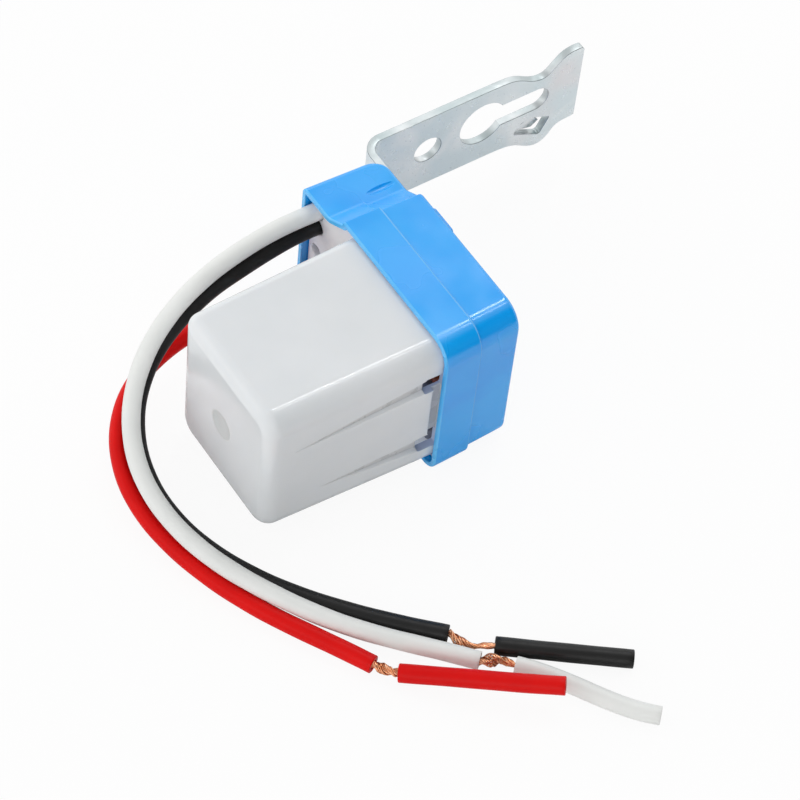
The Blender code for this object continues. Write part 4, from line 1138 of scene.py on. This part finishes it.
# inner pieces keep their solids and get materials of their own
INNER = {
    "circuit_board": plain("board laminate", (0.40, 0.30, 0.12), (0.50, 0.39, 0.18), 0.5, scale=900.0),
    "relay": plain("relay case", (0.015, 0.06, 0.24), (0.02, 0.085, 0.30), 0.35),
    "film_capacitor": plain("film capacitor case", (0.16, 0.19, 0.28), (0.20, 0.24, 0.34), 0.3),
    "electrolytic_capacitor": plain("capacitor sleeve", (0.15, 0.18, 0.28), (0.20, 0.23, 0.34), 0.3),
    "photoresistor": plain("photoresistor face", (0.50, 0.22, 0.12), (0.60, 0.34, 0.20), 0.3, scale=1500.0),
    "zener_diode": plain("glass diode body", (0.35, 0.06, 0.02), (0.45, 0.10, 0.03), 0.12, transmission=0.3),
    "transistor": plain("black epoxy", (0.010, 0.010, 0.010), (0.018, 0.018, 0.018), 0.45),
    "diode": plain("grey diode epoxy", (0.14, 0.15, 0.19), (0.19, 0.20, 0.25), 0.4),
    "resistor": plain("resistor lacquer", (0.42, 0.31, 0.15), (0.52, 0.40, 0.20), 0.4),
    "core": plain("tinned copper", (0.60, 0.60, 0.59), (0.72, 0.72, 0.71), 0.3, 1.0),
}
ALIKE = {
    "diode_1": "diode", "diode_2": "diode", "diode_3": "diode", "diode_4": "diode",
    "resistor_1": "resistor", "resistor_2": "resistor", "resistor_3": "resistor",
    "white_core": "core", "black_core": "core", "red_core": "core",
}
for name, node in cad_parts.items():
    mat = INNER.get(ALIKE.get(name, name))
    if mat:
        node.data.materials.clear()
        node.data.materials.append(mat)

# floor, world and lamps, in metres
FLOOR_HALF = 3.0
FLOOR_GREY = 0.9
FLOOR_GLOW_SHARE = 0.92
DARK_PATCH_DIRECTION = (0.8, 0.38, 0.464)
LAMP_AIM = Vector((0, 0, 0.015))


def seen_directly(tree):
    # 1 for rays from the camera, also through clear material, otherwise 0
    rays = tree.nodes.new("ShaderNodeLightPath").outputs
    inputs = {0: rays["Is Camera Ray"], 1: rays["Is Transmission Ray"]}
    return add_node(tree, "ShaderNodeMath", inputs, operation="MAXIMUM").outputs[0]


def product(tree, a, b):
    return add_node(tree, "ShaderNodeMath", {0: a, 1: b}, operation="MULTIPLY").outputs[0]


def show(tree, output, factor, lit, seen):
    blend = add_node(tree, "ShaderNodeMixShader", {"Fac": factor, 1: lit.outputs[0], 2: seen.outputs[0]})
    plug(tree.nodes[output], "Surface", blend.outputs[0])


def set_floor():
    mesh = bpy.data.meshes.new("floor")
    corners = [(-FLOOR_HALF, -FLOOR_HALF, 0), (FLOOR_HALF, -FLOOR_HALF, 0)]
    corners += [(FLOOR_HALF, FLOOR_HALF, 0), (-FLOOR_HALF, FLOOR_HALF, 0)]
    mesh.from_pydata(corners, [], [(0, 1, 2, 3)])
    add_object("floor", mesh)
    paper = bpy.data.materials.new("white paper")
    paper.use_nodes = True
    tree = paper.node_tree
    shader = tree.nodes["Principled BSDF"]
    plug(shader, "Base Color", (FLOOR_GREY, FLOOR_GREY, FLOOR_GREY))
    plug(shader, "Roughness", 0.9)
    plug(shader, "Specular IOR Level", 0.0)
    glow = add_node(tree, "ShaderNodeEmission", {"Color": (1.0, 1.0, 1.0)})
    show(tree, "Material Output", product(tree, seen_directly(tree), FLOOR_GLOW_SHARE), shader, glow)
    mesh.materials.append(paper)


def set_world():
    # soft white room, brightest at a low angle and on the right, with one darker patch there
    world = bpy.data.worlds.new("studio")
    scene.world = world
    world.use_nodes = True
    tree = world.node_tree
    toward = tree.nodes.new("ShaderNodeTexCoord").outputs["Generated"]
    parts = add_node(tree, "ShaderNodeSeparateXYZ", {0: toward}).outputs
    inputs = {0: toward, 1: DARK_PATCH_DIRECTION}
    facing = add_node(tree, "ShaderNodeVectorMath", inputs, operation="DOT_PRODUCT").outputs["Value"]
    strength = map_range(tree, parts["Z"], 0.0, 0.4, 0.7, 1.6, "SMOOTHSTEP")
    for source, low, high, at_low, at_high in (
        (parts["Z"], 0.4, 0.72, 1.0, 0.455), (parts["X"], 0.0, 1.0, 1.0, 1.5),
        (facing, 0.68, 0.86, 1.0, 0.05),
    ):
        ramp = map_range(tree, source, low, high, at_low, at_high, "SMOOTHSTEP")
        strength = product(tree, strength, ramp)
    room = tree.nodes["Background"]
    plug(room, "Color", (1.0, 1.0, 1.0))
    plug(room, "Strength", strength)
    white = add_node(tree, "ShaderNodeBackground", {"Color": (1.0, 1.0, 1.0), "Strength": 1.0})
    show(tree, "World Output", seen_directly(tree), room, white)


def lamp(name, place, size_x, size_y, power):
    data = bpy.data.lights.new(name, "AREA")
    data.shape = "RECTANGLE"
    data.size = size_x
    data.size_y = size_y
    data.energy = power
    obj = add_object(name, data)
    obj.location = place
    obj.rotation_mode = "QUATERNION"
    obj.rotation_quaternion = (LAMP_AIM - Vector(place)).to_track_quat("-Z", "Y")


set_floor()
set_world()
lamp("left tube", place=(-0.308, 0.378, 0.888), size_x=0.022, size_y=0.42, power=0.9)
lamp("right tube", place=(-0.07, 0.378, 0.939), size_x=0.022, size_y=0.42, power=0.5)

scene.view_settings.view_transform = "Standard"
